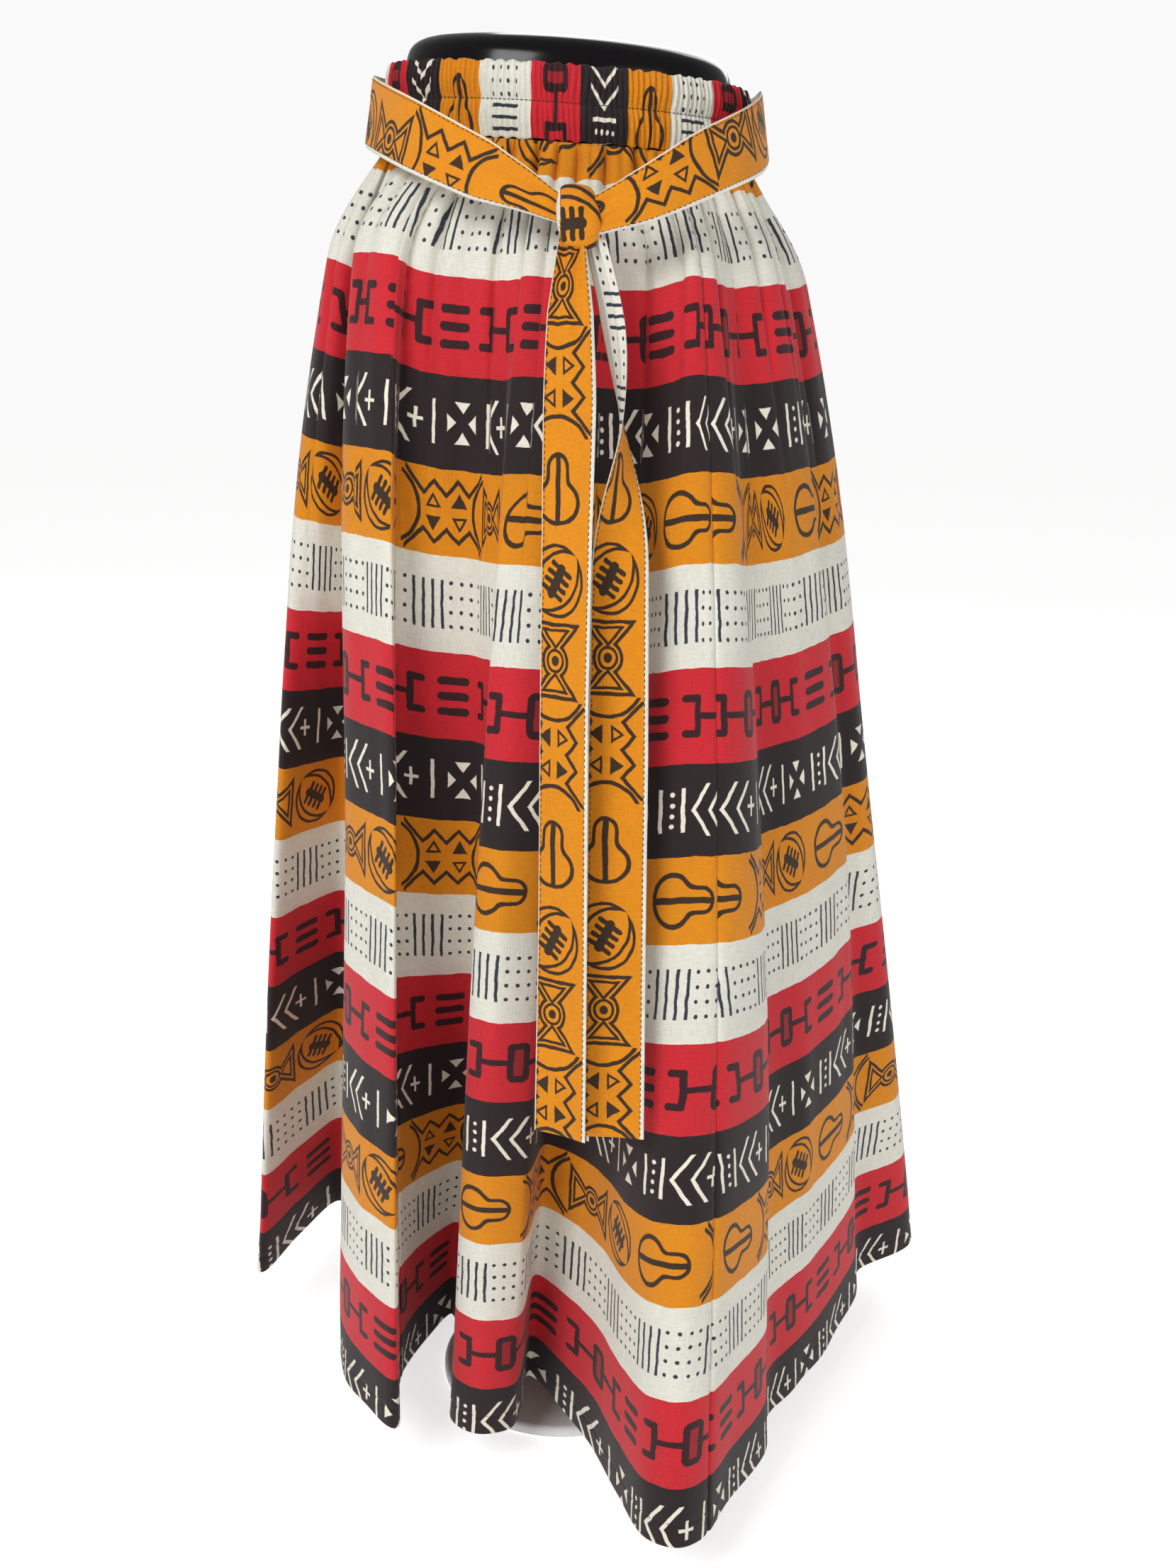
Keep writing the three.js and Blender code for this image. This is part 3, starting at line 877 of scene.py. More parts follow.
@dataclass(frozen=True)
class BandPrint:
    """The striped print: four bands with their rows of marks, built as one shader node group."""

    repeat: float = 260.0
    first_band: float = 25.0
    edge: float = 0.45
    band_margin: float = 0.5
    overprint: float = 0.9
    shake: float = 2.6
    shakes_along: float = 90.0
    shakes_down: float = 70.0
    white: tuple[float, float, float] = linear(222, 220, 208)
    red: tuple[float, float, float] = linear(198, 32, 44)
    rust: tuple[float, float, float] = linear(120, 48, 20)
    black: tuple[float, float, float] = linear(36, 25, 26)
    orange: tuple[float, float, float] = linear(215, 133, 6)
    white_marks: tuple[float, float, float] = linear(45, 50, 62)
    red_marks: tuple[float, float, float] = linear(48, 14, 20)
    black_marks: tuple[float, float, float] = linear(235, 228, 212)
    orange_marks: tuple[float, float, float] = linear(52, 34, 18)

    def build(self) -> bpy.types.NodeTree:
        """The print as a node group.

        Returns:
            A group with input Cloth, a place on the flat cloth in metres, and outputs Colour and Ink.
        """
        graph, given, result = shader_group(
            "Band print",
            [("Cloth", "NodeSocketVector")],
            [("Colour", "NodeSocketColor"), ("Ink", "NodeSocketFloat")],
        )
        split = graph.node("ShaderNodeSeparateXYZ")
        graph.put(given["Cloth"], split.inputs[0])
        shake_u = graph.noise(given["Cloth"], self.shakes_along, 3.0)
        shake_v = graph.noise(given["Cloth"], self.shakes_down, 3.0, noise_dimensions="4D")
        u = Field(graph, split.outputs[0]) * MILLIMETRES + (shake_u - 0.5) * self.shake
        v = Field(graph, split.outputs[1]) * MILLIMETRES + (shake_v - 0.5) * self.shake
        down = (v - self.first_band).wrapped(self.repeat, 0.0)
        rows = {
            Band.WHITE: StrokesAndDots(),
            Band.RED: BarsAndLinks(),
            Band.BLACK: BarsAndCrosses(),
            Band.ORANGE: Signs(),
        }
        drawn = [
            row.draw(graph, u, down - band.middle).most(
                abs(down - band.middle) - (band.height / 2 - self.band_margin)
            )
            for band, row in rows.items()
        ]
        ink = graph.math("SUBTRACT", 0.5, drawn[0].least(*drawn[1:]) / self.edge)
        ink = ink.most(0.0).least(1.0)
        share = down / self.repeat
        red, black, orange = (band.top / self.repeat for band in (Band.RED, Band.BLACK, Band.ORANGE))
        ground = graph.ramp(share, [
            (0.0, self.white),
            (red, self.red),
            (black - self.overprint / self.repeat, self.rust),
            (black, self.black),
            (orange, self.orange),
        ])
        signs = graph.ramp(share, [
            (0.0, self.white_marks),
            (red, self.red_marks),
            (black, self.black_marks),
            (orange, self.orange_marks),
        ])
        graph.put(graph.mix(ink, ground, signs), result["Colour"])
        graph.put(ink, result["Ink"])
        return graph.tree


@dataclass(frozen=True)
class PlainWeave:
    """Plain-woven cotton: crossing threads, slubs and soft wrinkles, built as one shader node group."""

    thread: float = 0.42
    slub_length: float = 0.12
    slubs_per_metre: float = 900.0
    clouds_per_metre: float = 14.0
    wrinkles_per_metre: float = 38.0
    slub_shade: float = 0.34
    cloud_shade: float = 0.2
    thread_relief: float = 0.06
    slub_relief: float = 0.14
    wrinkle_relief: float = 0.6

    def build(self) -> bpy.types.NodeTree:
        """The weave as a node group.

        Returns:
            A group with input Cloth and outputs Shade, a factor about 1, and Height from 0 to 1.
        """
        graph, given, result = shader_group(
            "Plain weave",
            [("Cloth", "NodeSocketVector")],
            [("Shade", "NodeSocketFloat"), ("Height", "NodeSocketFloat")],
        )
        split = graph.node("ShaderNodeSeparateXYZ")
        graph.put(given["Cloth"], split.inputs[0])
        turns = math.pi * MILLIMETRES / self.thread
        warp = graph.math("SINE", Field(graph, split.outputs[0]) * turns)
        weft = graph.math("SINE", Field(graph, split.outputs[1]) * turns)
        crossing = warp * weft
        slubs = []
        for scale in ((self.slub_length, 1.0, 1.0), (1.0, self.slub_length, 1.0)):
            stretch = graph.node("ShaderNodeMapping")
            stretch.inputs["Scale"].default_value = scale
            graph.put(given["Cloth"], stretch.inputs["Vector"])
            slubs.append(graph.noise(stretch.outputs[0], self.slubs_per_metre, 3.0))
        slubs = slubs[0] + slubs[1]
        cloudy = graph.noise(given["Cloth"], self.clouds_per_metre, 3.0)
        wrinkle = graph.noise(given["Cloth"], self.wrinkles_per_metre, 4.0)
        shade = (slubs - 1.0) * self.slub_shade + (cloudy - 0.5) * self.cloud_shade + 1.0
        height = crossing * self.thread_relief + slubs * self.slub_relief + wrinkle * self.wrinkle_relief
        graph.put(shade, result["Shade"])
        graph.put(height, result["Height"])
        return graph.tree


@dataclass(frozen=True)
class PrintedCotton:
    """Printed plain-weave cotton: the print's own colours, a matt surface and a faint sheen, with shade as
    painted light that lightens or darkens a whole copy.
    """

    name: str
    printing: bpy.types.NodeTree
    weave: bpy.types.NodeTree
    roughness: float = 0.78
    sheen: float = 0.12
    sheen_roughness: float = 0.5
    gloss: float = 0.3
    ink_smoothness: float = 0.08
    relief: float = 0.35
    # shade scales the whole copy's colour; above 1 it is painted light, a lighter lit copy of the same cloth
    shade: float = 1.0

    def material(self) -> bpy.types.Material:
        """Builds the finish.

        Returns:
            Its material.
        """
        made = bpy.data.materials.new(self.name)
        made.use_nodes = True
        graph = Graph(made.node_tree)
        surface = made.node_tree.nodes["Principled BSDF"]
        place = graph.node("ShaderNodeUVMap", uv_map="Cloth")
        drawn = graph.node("ShaderNodeGroup", node_tree=self.printing)
        threads = graph.node("ShaderNodeGroup", node_tree=self.weave)
        graph.put(place.outputs[0], drawn.inputs["Cloth"])
        graph.put(place.outputs[0], threads.inputs["Cloth"])
        tone = graph.node("ShaderNodeVectorMath", operation="SCALE")
        graph.put(drawn.outputs["Colour"], tone.inputs[0])
        shade = Field(graph, threads.outputs["Shade"]) * self.shade
        graph.put(shade, tone.inputs["Scale"])
        graph.put(tone.outputs[0], surface.inputs["Base Color"])
        roughness = Field(graph, drawn.outputs["Ink"]) * -self.ink_smoothness + self.roughness
        graph.put(roughness, surface.inputs["Roughness"])
        lift = graph.node("ShaderNodeBump")
        lift.inputs["Strength"].default_value = 1.0
        lift.inputs["Distance"].default_value = self.relief * METRES
        graph.put(threads.outputs["Height"], lift.inputs["Height"])
        graph.put(lift.outputs[0], surface.inputs["Normal"])
        surface.inputs["Sheen Weight"].default_value = self.sheen
        surface.inputs["Sheen Roughness"].default_value = self.sheen_roughness
        surface.inputs["Specular IOR Level"].default_value = self.gloss
        return made


@dataclass(frozen=True)
class PlainFinish:
    """A finish of one colour with fine marks: plastic, paint, metal or thread."""

    name: str
    colour: tuple[float, float, float]
    roughness: float
    metallic: float = 0.0
    gloss: float = 0.5
    marks: float = 0.05
    marks_per_metre: float = 30.0
    scratch_share: float = 0.3
    relief: float = 0.0

    def material(self) -> bpy.types.Material:
        """Builds the finish.

        Returns:
            Its material.
        """
        made = bpy.data.materials.new(self.name)
        made.use_nodes = True
        graph = Graph(made.node_tree)
        surface = made.node_tree.nodes["Principled BSDF"]
        place = graph.node("ShaderNodeTexCoord").outputs["Object"]
        clouds = graph.noise(place, self.marks_per_metre, 4.0)
        scratches = graph.noise(place, self.marks_per_metre * 12.0, 2.0)
        worn = clouds * (1.0 - self.scratch_share) + scratches * self.scratch_share
        dark = tuple(c * (1 - self.marks) for c in self.colour)
        bright = tuple(min(1.0, c * (1 + self.marks)) for c in self.colour)
        graph.put(graph.mix(worn, (*dark, 1.0), (*bright, 1.0)), surface.inputs["Base Color"])
        graph.put(worn * (self.roughness * 0.35) + self.roughness * 0.82, surface.inputs["Roughness"])
        surface.inputs["Metallic"].default_value = self.metallic
        surface.inputs["Specular IOR Level"].default_value = self.gloss
        if self.relief:
            lift = graph.node("ShaderNodeBump")
            lift.inputs["Distance"].default_value = self.relief * METRES
            graph.put(worn, lift.inputs["Height"])
            graph.put(lift.outputs[0], surface.inputs["Normal"])
        return made


class Finishes:
    """Every material of the part, built once."""

    def __init__(self) -> None:
        """Builds the shader groups and then the materials."""
        printing = BandPrint().build()
        weave = PlainWeave().build()
        self.skirt = PrintedCotton("Printed cotton", printing, weave).material()
        self.waistband = PrintedCotton("Waistband cotton", printing, weave, relief=0.25).material()
        # The tie's copy is painted 4% lighter: painted light on the same cloth as the skirt.
        self.tie = PrintedCotton("Tie cotton", printing, weave, relief=0.3, shade=1.04).material()
        self.thread = PlainFinish("Dark thread", linear(40, 32, 28), 0.6, marks=0.2).material()
        self.form = PlainFinish(
            "Gloss black plastic", linear(12, 8, 11), 0.16, gloss=0.22, marks=0.3, marks_per_metre=18.0
        ).material()
        self.steel = PlainFinish("Satin steel", (0.62, 0.62, 0.63), 0.32, metallic=1.0).material()
        self.paint = PlainFinish(
            "Satin white paint", (0.8, 0.8, 0.78), 0.45, marks=0.03, relief=0.05
        ).material()
        self.floor = PlainFinish(
            "Pale floor", (0.86, 0.86, 0.85), 0.85, marks=0.01, marks_per_metre=4.0
        ).material()


# ---------------------------------------------------------------- sewing
@dataclass(frozen=True)
class Stitch:
    """The size of one stitch of a sewn row."""

    length: float = 2.9
    gap: float = 1.2
    half_width: float = 0.3
    half_height: float = 0.22


def sew(
    name: str,
    line: np.ndarray,
    facing: np.ndarray,
    stitch: Stitch,
    thread: bpy.types.Material,
) -> bpy.types.Object:
    """A row of stitches along a line on the cloth.

    Args:
        name: the row's name.
        line: points on the cloth's surface, shape (N, 3).
        facing: direction out of the cloth at each point, shape (N, 3).
        stitch: the size of a stitch.
        thread: the thread's material.

    Returns:
        The row, as one object.
    """
    distance = length_along(line)
    starts = np.arange(stitch.gap, distance[-1] - stitch.length, stitch.length + stitch.gap)
    stops = starts[:, None] + stitch.length * np.array([0.0, 0.3, 0.7, 1.0])[None, :]
    place = np.stack([np.interp(stops, distance, line[:, k]) for k in range(3)], axis=-1)
    out = unit(np.stack([np.interp(stops, distance, facing[:, k]) for k in range(3)], axis=-1))
    ahead = unit(place[:, 3] - place[:, 0])[:, None, :]
    side = unit(np.cross(out, np.broadcast_to(ahead, out.shape)))
    swell = np.array([0.35, 1.0, 1.0, 0.35])[None, :, None]
    sunk = np.array([-0.5, 0.4, 0.4, -0.5])[None, :, None] * stitch.half_height
    corners = [(1, -0.4), (0.55, 1.0), (-0.55, 1.0), (-1, -0.4)]
    rings = []
    for w, h in corners:
        aside = side * (w * stitch.half_width) + out * (h * stitch.half_height)
        rings.append(place + out * sunk + aside * swell)
    rings = np.stack(rings, axis=2)
    this = np.arange(4)
    after = (this + 1) % 4
    sides = [np.stack([this, after, after + 4, this + 4], axis=1) + 4 * k for k in range(3)]
    faces = np.concatenate([*sides, [[3, 2, 1, 0]], [[12, 13, 14, 15]]])
    faces = faces[None, :, :] + 16 * np.arange(len(starts))[:, None, None]
    piece = mesh_object(name, rings.reshape(-1, 3), faces.reshape(-1, 4))
    dress(piece, thread)
    return piece


# ---------------------------------------------------------------- the folds
class Run(Enum):
    """What the cloth between a fold line and the next does, with the share of the slack that it takes."""

    FACE = 0.07
    RECESS = 1.0


@dataclass(frozen=True)
class FoldLine:
    """One line of cloth from waist to hem: its plan place at the yoke, at mid length and at the hem.

    print_mid and print_hem are its place along the printed rows at those levels, where it is fixed.
    """

    name: str
    yoke: tuple[float, float]
    mid: tuple[float, float]
    hem: tuple[float, float]
    run: Run
    print_mid: float | None = None
    print_hem: float | None = None


FACE, RECESS = Run.FACE, Run.RECESS
FOLD_LINES = tuple(
    FoldLine(*row)
    for row in (
        ("left side seam", (-174, 22), (-236, 38), (-278, 95), FACE, 74.0, 46.0),
        ("left corner", (-175, -18), (-231, -18), (-275, 42), RECESS, 129.0, 99.0),
        ("left slope", (-161, -42), (-212, 12), (-250, 100), RECESS),
        ("left valley", (-149, -38), (-186, 46), (-219, 156), RECESS),
        ("left return", (-147, -54), (-164, 8), (-190, 80), RECESS),
        ("lobe A left edge", (-147, -84), (-165, -92), (-187, -72), FACE),
        ("lobe A face", (-131, -104), (-146, -128), (-162, -130), FACE, 384.0, 384.0),
        ("lobe A tip", (-110, -117), (-121, -161), (-131, -163), FACE),
        ("left front seam", (-107, -104), (-124, -110), (-134, -92), RECESS, 502.0, 466.0),
        ("recess B left", (-88, -106), (-102, -97), (-120, -35), FACE, 527.0, 527.0),
        ("recess B right", (-55, -116), (-68, -92), (-99, 0), RECESS),
        ("recess B return", (-37, -122), (-52, -120), (-84, -60), RECESS),
        ("lobe C left edge", (-30, -131), (-62, -167), (-87, -138), FACE),
        ("lobe C face", (-14, -136), (-44, -180), (-64, -157), FACE, 719.0, 719.0),
        ("lobe C right edge", (4, -134), (-18, -172), (-40, -147), RECESS),
        ("recess D left", (18, -124), (0, -130), (-28, -74), RECESS),
        ("recess D right", (42, -116), (28, -132), (2, -112), RECESS),
        ("recess D return", (60, -120), (46, -166), (24, -155), RECESS),
        ("lobe E left edge", (73, -125), (58, -203), (44, -225), FACE),
        ("lobe E left face", (80, -129), (73, -214), (66, -284), FACE),
        ("lobe E tip", (87, -129), (91, -217), (88, -296), FACE, 962.0, 989.0),
        ("right front seam", (92, -126), (109, -214), (110, -277), FACE, 958.0, 891.0),
        ("lobe E right face", (99, -120), (128, -199), (128, -238), FACE),
        ("lobe E right edge", (105, -111), (147, -163), (161, -172), RECESS),
        ("recess F left", (112, -102), (147, -122), (170, -122), RECESS),
        ("recess F middle", (132, -88), (186, -80), (212, -62), FACE, 1162.0, 1162.0),
        ("recess F right", (151, -70), (224, -28), (262, 30), RECESS),
        ("right valley", (156, -46), (229, 2), (272, 74), RECESS),
        ("right corner", (172, -14), (251, 16), (326, 104), FACE, 1273.0, 1393.0),
        ("right side seam", (174, 22), (254, 60), (318, 156), RECESS, 0.0, 0.0),
        ("back valley 1", (152, 54), (208, 92), (256, 168), RECESS),
        ("back crest 1", (146, 100), (204, 156), (250, 232), RECESS, 127.0, 127.0),
        ("back valley 2", (112, 100), (150, 132), (180, 186), RECESS),
        ("back crest 2", (88, 136), (122, 192), (146, 266), RECESS, 276.0, 276.0),
        ("back valley 3", (54, 116), (70, 142), (84, 196), RECESS),
        ("back crest 3", (24, 144), (30, 200), (30, 276), RECESS, 442.0, 442.0),
        ("back valley 4", (-10, 118), (-18, 142), (-24, 198), RECESS),
        ("back crest 4", (-42, 142), (-62, 198), (-80, 270), RECESS, 608.0, 608.0),
        ("back valley 5", (-72, 112), (-100, 132), (-126, 190), RECESS),
        ("back crest 5", (-106, 126), (-148, 180), (-188, 246), RECESS, 768.0, 768.0),
        ("back valley 6", (-128, 82), (-172, 112), (-214, 186), RECESS),
        ("back crest 6", (-158, 70), (-221, 108), (-264, 162), RECESS, 890.0, 890.0),
    )
)
FOLD_INDEX = {line.name: k for k, line in enumerate(FOLD_LINES)}


@dataclass(frozen=True)
class Crease:
    """A soft trough (depth below 0) or ridge in the cloth.

    fold is its place counted in fold lines, drop_from and drop_to are distances down the cloth,
    width is its half breadth, and lean is how many fold lines it drifts over 100 mm of cloth.
    """

    fold: float
    drop_from: float
    drop_to: float
    width: float
    depth: float
    lean: float = 0.0


FRONT_CREASES = (
    Crease(6.3, 20, 230, 7, 2.2, 0.05),
    Crease(6.8, 40, 330, 9, -2.0, -0.04),
    Crease(5.6, 120, 420, 10, 1.8, 0.02),
    Crease(6.4, 330, 640, 13, -2.2, 0.05),
    Crease(6.1, 600, 930, 15, 2.4, -0.03),
    Crease(9.2, 15, 260, 8, 2.4, 0.06),
    Crease(9.7, 60, 420, 9, -2.6, -0.03),
    Crease(9.4, 380, 760, 12, 2.0, 0.04),
    Crease(10.3, 120, 560, 10, 2.4, 0.02),
    Crease(12.6, 150, 420, 9, -1.8, 0.05),
    Crease(13.1, 300, 700, 11, 1.9, -0.05),
    Crease(13.4, 620, 960, 14, -2.4, 0.03),
    Crease(14.4, 40, 300, 8, 2.6, 0.04),
    Crease(15.6, 30, 340, 9, -2.8, 0.05),
    Crease(16.5, 200, 620, 12, 2.4, -0.04),
    Crease(18.8, 40, 260, 6, 2.0, 0.06),
    Crease(19.6, 240, 560, 9, -1.8, 0.04),
    Crease(20.0, 520, 900, 13, 2.2, -0.03),
    Crease(22.4, 60, 380, 8, 2.2, -0.04),
    Crease(22.9, 320, 700, 11, -2.2, 0.03),
    Crease(24.4, 20, 260, 8, -2.4, 0.06),
    Crease(25.2, 90, 480, 11, 2.6, -0.05),
    Crease(25.7, 420, 860, 15, -2.6, 0.04),
    Crease(24.8, 560, 940, 13, 2.0, 0.03),
    Crease(28.4, 60, 420, 10, 2.0, 0.04),
    Crease(28.7, 380, 820, 12, -2.2, -0.03),
    Crease(0.4, 40, 380, 9, 2.0, 0.05),
    Crease(0.6, 420, 900, 13, -2.4, -0.04),
    Crease(2.6, 80, 500, 11, 2.4, 0.03),
)
BACK_CREASES = (
    Crease(30.4, 30, 320, 9, 2.2, 0.04),
    Crease(31.3, 180, 620, 12, -2.2, -0.03),
    Crease(32.5, 20, 240, 8, 2.4, 0.05),
    Crease(33.2, 260, 720, 13, 2.0, -0.04),
    Crease(33.7, 560, 930, 14, -2.2, 0.03),
    Crease(34.6, 60, 420, 9, -2.4, 0.04),
    Crease(35.1, 30, 300, 8, 2.2, -0.05),
    Crease(35.4, 420, 860, 14, -2.0, 0.03),
    Crease(36.5, 100, 520, 11, 2.4, 0.03),
    Crease(37.2, 20, 260, 8, -2.2, 0.05),
    Crease(37.3, 340, 800, 13, 2.0, -0.03),
    Crease(38.4, 60, 360, 9, 2.4, 0.05),
    Crease(39.1, 240, 680, 12, -2.2, -0.04),
    Crease(39.6, 580, 940, 14, 2.2, 0.03),
    Crease(40.5, 40, 340, 9, -2.2, 0.04),
    Crease(41.3, 160, 600, 12, 2.2, -0.03),
)


@dataclass(frozen=True)
class SkirtSizes:
    """The skirt's driving sizes."""

    waist_seam: float = 1014.0
    waist_half_width: float = 127.0
    waist_half_depth: float = 98.0
    waist_tilt: float = 3.5
    waistband: float = 48.0
    length: float = 984.0
    cloth: float = 1.2
    seam_gap: float = 0.4
    levels: tuple[float, ...] = (0.0, 98.0, 545.0, 984.0)
    row_drops: tuple[float, ...] = (0, 16, 40, 75, 120, 190, 285, 410, 545, 700, 850, 984)
    gather_evenness: float = 0.15
    least_waist_angle: float = 1.6
    least_fall: float = 0.4

    def tilt_lift(self, x: np.ndarray) -> np.ndarray:
        """How far the tilted waist stands above its middle at a place across."""
        return -x * math.tan(math.radians(self.waist_tilt))


class SkirtForm:
    """The hanging form of the skirt: where any place on the cloth lies."""

    def __init__(self, sizes: SkirtSizes) -> None:
        """Works out where each fold line meets the waist."""
        self.sizes = sizes
        self.count = len(FOLD_LINES)
        self.plan = np.array([[line.yoke, line.mid, line.hem] for line in FOLD_LINES], dtype=float)
        hem = self.plan[:, 2]
        self.hem_lengths = np.linalg.norm(np.roll(hem, -1, axis=0) - hem, axis=1)
        self.angles = self.waist_angles()

    def waist_angles(self) -> np.ndarray:
        """The angle round the waist of each fold line, from the left through the front to the right."""
        sizes = self.sizes
        yoke = self.plan[:, 0]
        straight = np.arctan2(-yoke[:, 1] / sizes.waist_half_depth, -yoke[:, 0] / sizes.waist_half_width)
        for k in range(1, self.count):
            while straight[k] < straight[k - 1] - 0.5:
                straight[k] += 2 * math.pi
            straight[k] = max(straight[k], straight[k - 1] + math.radians(sizes.least_waist_angle))
        before = running_total(self.hem_lengths)
        shared = straight[0] + 2 * math.pi * before[:-1] / before[-1]
        return straight + (shared - straight) * sizes.gather_evenness

    def plan_at(self, drops: np.ndarray) -> np.ndarray:
        """Plan places of the fold lines at some distances down the cloth.

        Args:
            drops: distances down the cloth, shape (R,).

        Returns:
            Places, shape (R, folds, 2).
        """
        half = np.array([self.sizes.waist_half_width, self.sizes.waist_half_depth])
        waist = -half * np.stack([np.cos(self.angles), np.sin(self.angles)], axis=1)
        values = np.concatenate([waist[None], self.plan.transpose(1, 0, 2)])
        return spline_through(np.array(self.sizes.levels), values, drops)

    def plan_points(self, places: np.ndarray, drops: np.ndarray) -> np.ndarray:
        """Plan points of the cloth, shape (R, C, 2), at places counted in fold lines."""
        segment = np.floor(places).astype(int)
        return centripetal(self.plan_at(drops), segment % self.count, places - segment, closed=True)

    def drape(self, places: np.ndarray, drops: np.ndarray) -> np.ndarray:
        """Points of the cloth's middle surface.

        Args:
            places: where round the skirt, counted in fold lines, shape (C,).
            drops: distances down the cloth, shape (R,).

        Returns:
            Points, shape (R, C, 3).
        """
        coarse = np.array(self.sizes.row_drops, dtype=float)
        knots = self.plan_points(places, coarse)
        heights = np.empty(knots.shape[:2])
        heights[0] = self.sizes.waist_seam - self.sizes.seam_gap / 2 + self.sizes.tilt_lift(knots[0, :, 0])
        for r in range(1, len(coarse)):
            step = coarse[r] - coarse[r - 1]
            sideways = np.linalg.norm(knots[r] - knots[r - 1], axis=-1)
            fall = np.sqrt(np.maximum(step**2 - sideways**2, (self.sizes.least_fall * step) ** 2))
            heights[r] = heights[r - 1] - fall
        plan = self.plan_points(places, drops)
        return np.concatenate([plan, spline_through(coarse, heights, drops)[..., None]], axis=-1)

    def surface(self, places: np.ndarray, drops: np.ndarray) -> tuple[np.ndarray, np.ndarray]:
        """Points of the cloth and their outward normals, level along the top edge.

        Args:
            places: where round the skirt, counted in fold lines, shape (C,).
            drops: distances down the cloth, shape (R,).

        Returns:
            Points and normals, each of shape (R, C, 3).
        """
        step = 0.02
        points = self.drape(places, drops)
        along = self.drape(places + step, drops) - self.drape(places - step, drops)
        down = np.gradient(points, drops, axis=0)
        normals = np.cross(down, along)
        normals[0, :, 2] = 0.0
        return points, unit(normals)


SEAMS = ("left side seam", "left front seam", "right front seam", "right side seam")


def row_places(length: float, fine_until: float, fine: float, coarse: float) -> np.ndarray:
    """Distances down the cloth of the rows of points, closer together near the waist and at the hem.

    Args:
        length: the cloth's length.
        fine_until: how far down the rows stay close.
        fine: distance between rows there.
        coarse: distance between rows below.

    Returns:
        Rising distances from 0 to the length.
    """
    above_hem = np.array([20.0, 18.5, 17.2, 16.0, 14.5, 10.0, 5.0, 1.0, 0.0])
    lowest = length - 24.0
    upper = np.arange(0.0, fine_until, fine)
    lower = np.linspace(fine_until, lowest, int((lowest - fine_until) / coarse) + 1)
    return np.concatenate([upper, lower, length - above_hem])


@dataclass(frozen=True)
class GatherWave:
    """Soft ridges below the waistband: their width along the cloth, their height and how far they reach."""

    width: float
    height: float
    fade: float


GATHER_WAVES = (GatherWave(47.0, 0.8, 60.0), GatherWave(66.0, 1.3, 110.0), GatherWave(97.0, 1.4, 240.0))


def ridges(turn: np.ndarray) -> np.ndarray:
    """Rounded ridges with narrow valleys, one for each half turn, about a mean of 0."""
    ridge_mean = 1.27
    return 2.0 * np.abs(np.sin(turn)) - ridge_mean


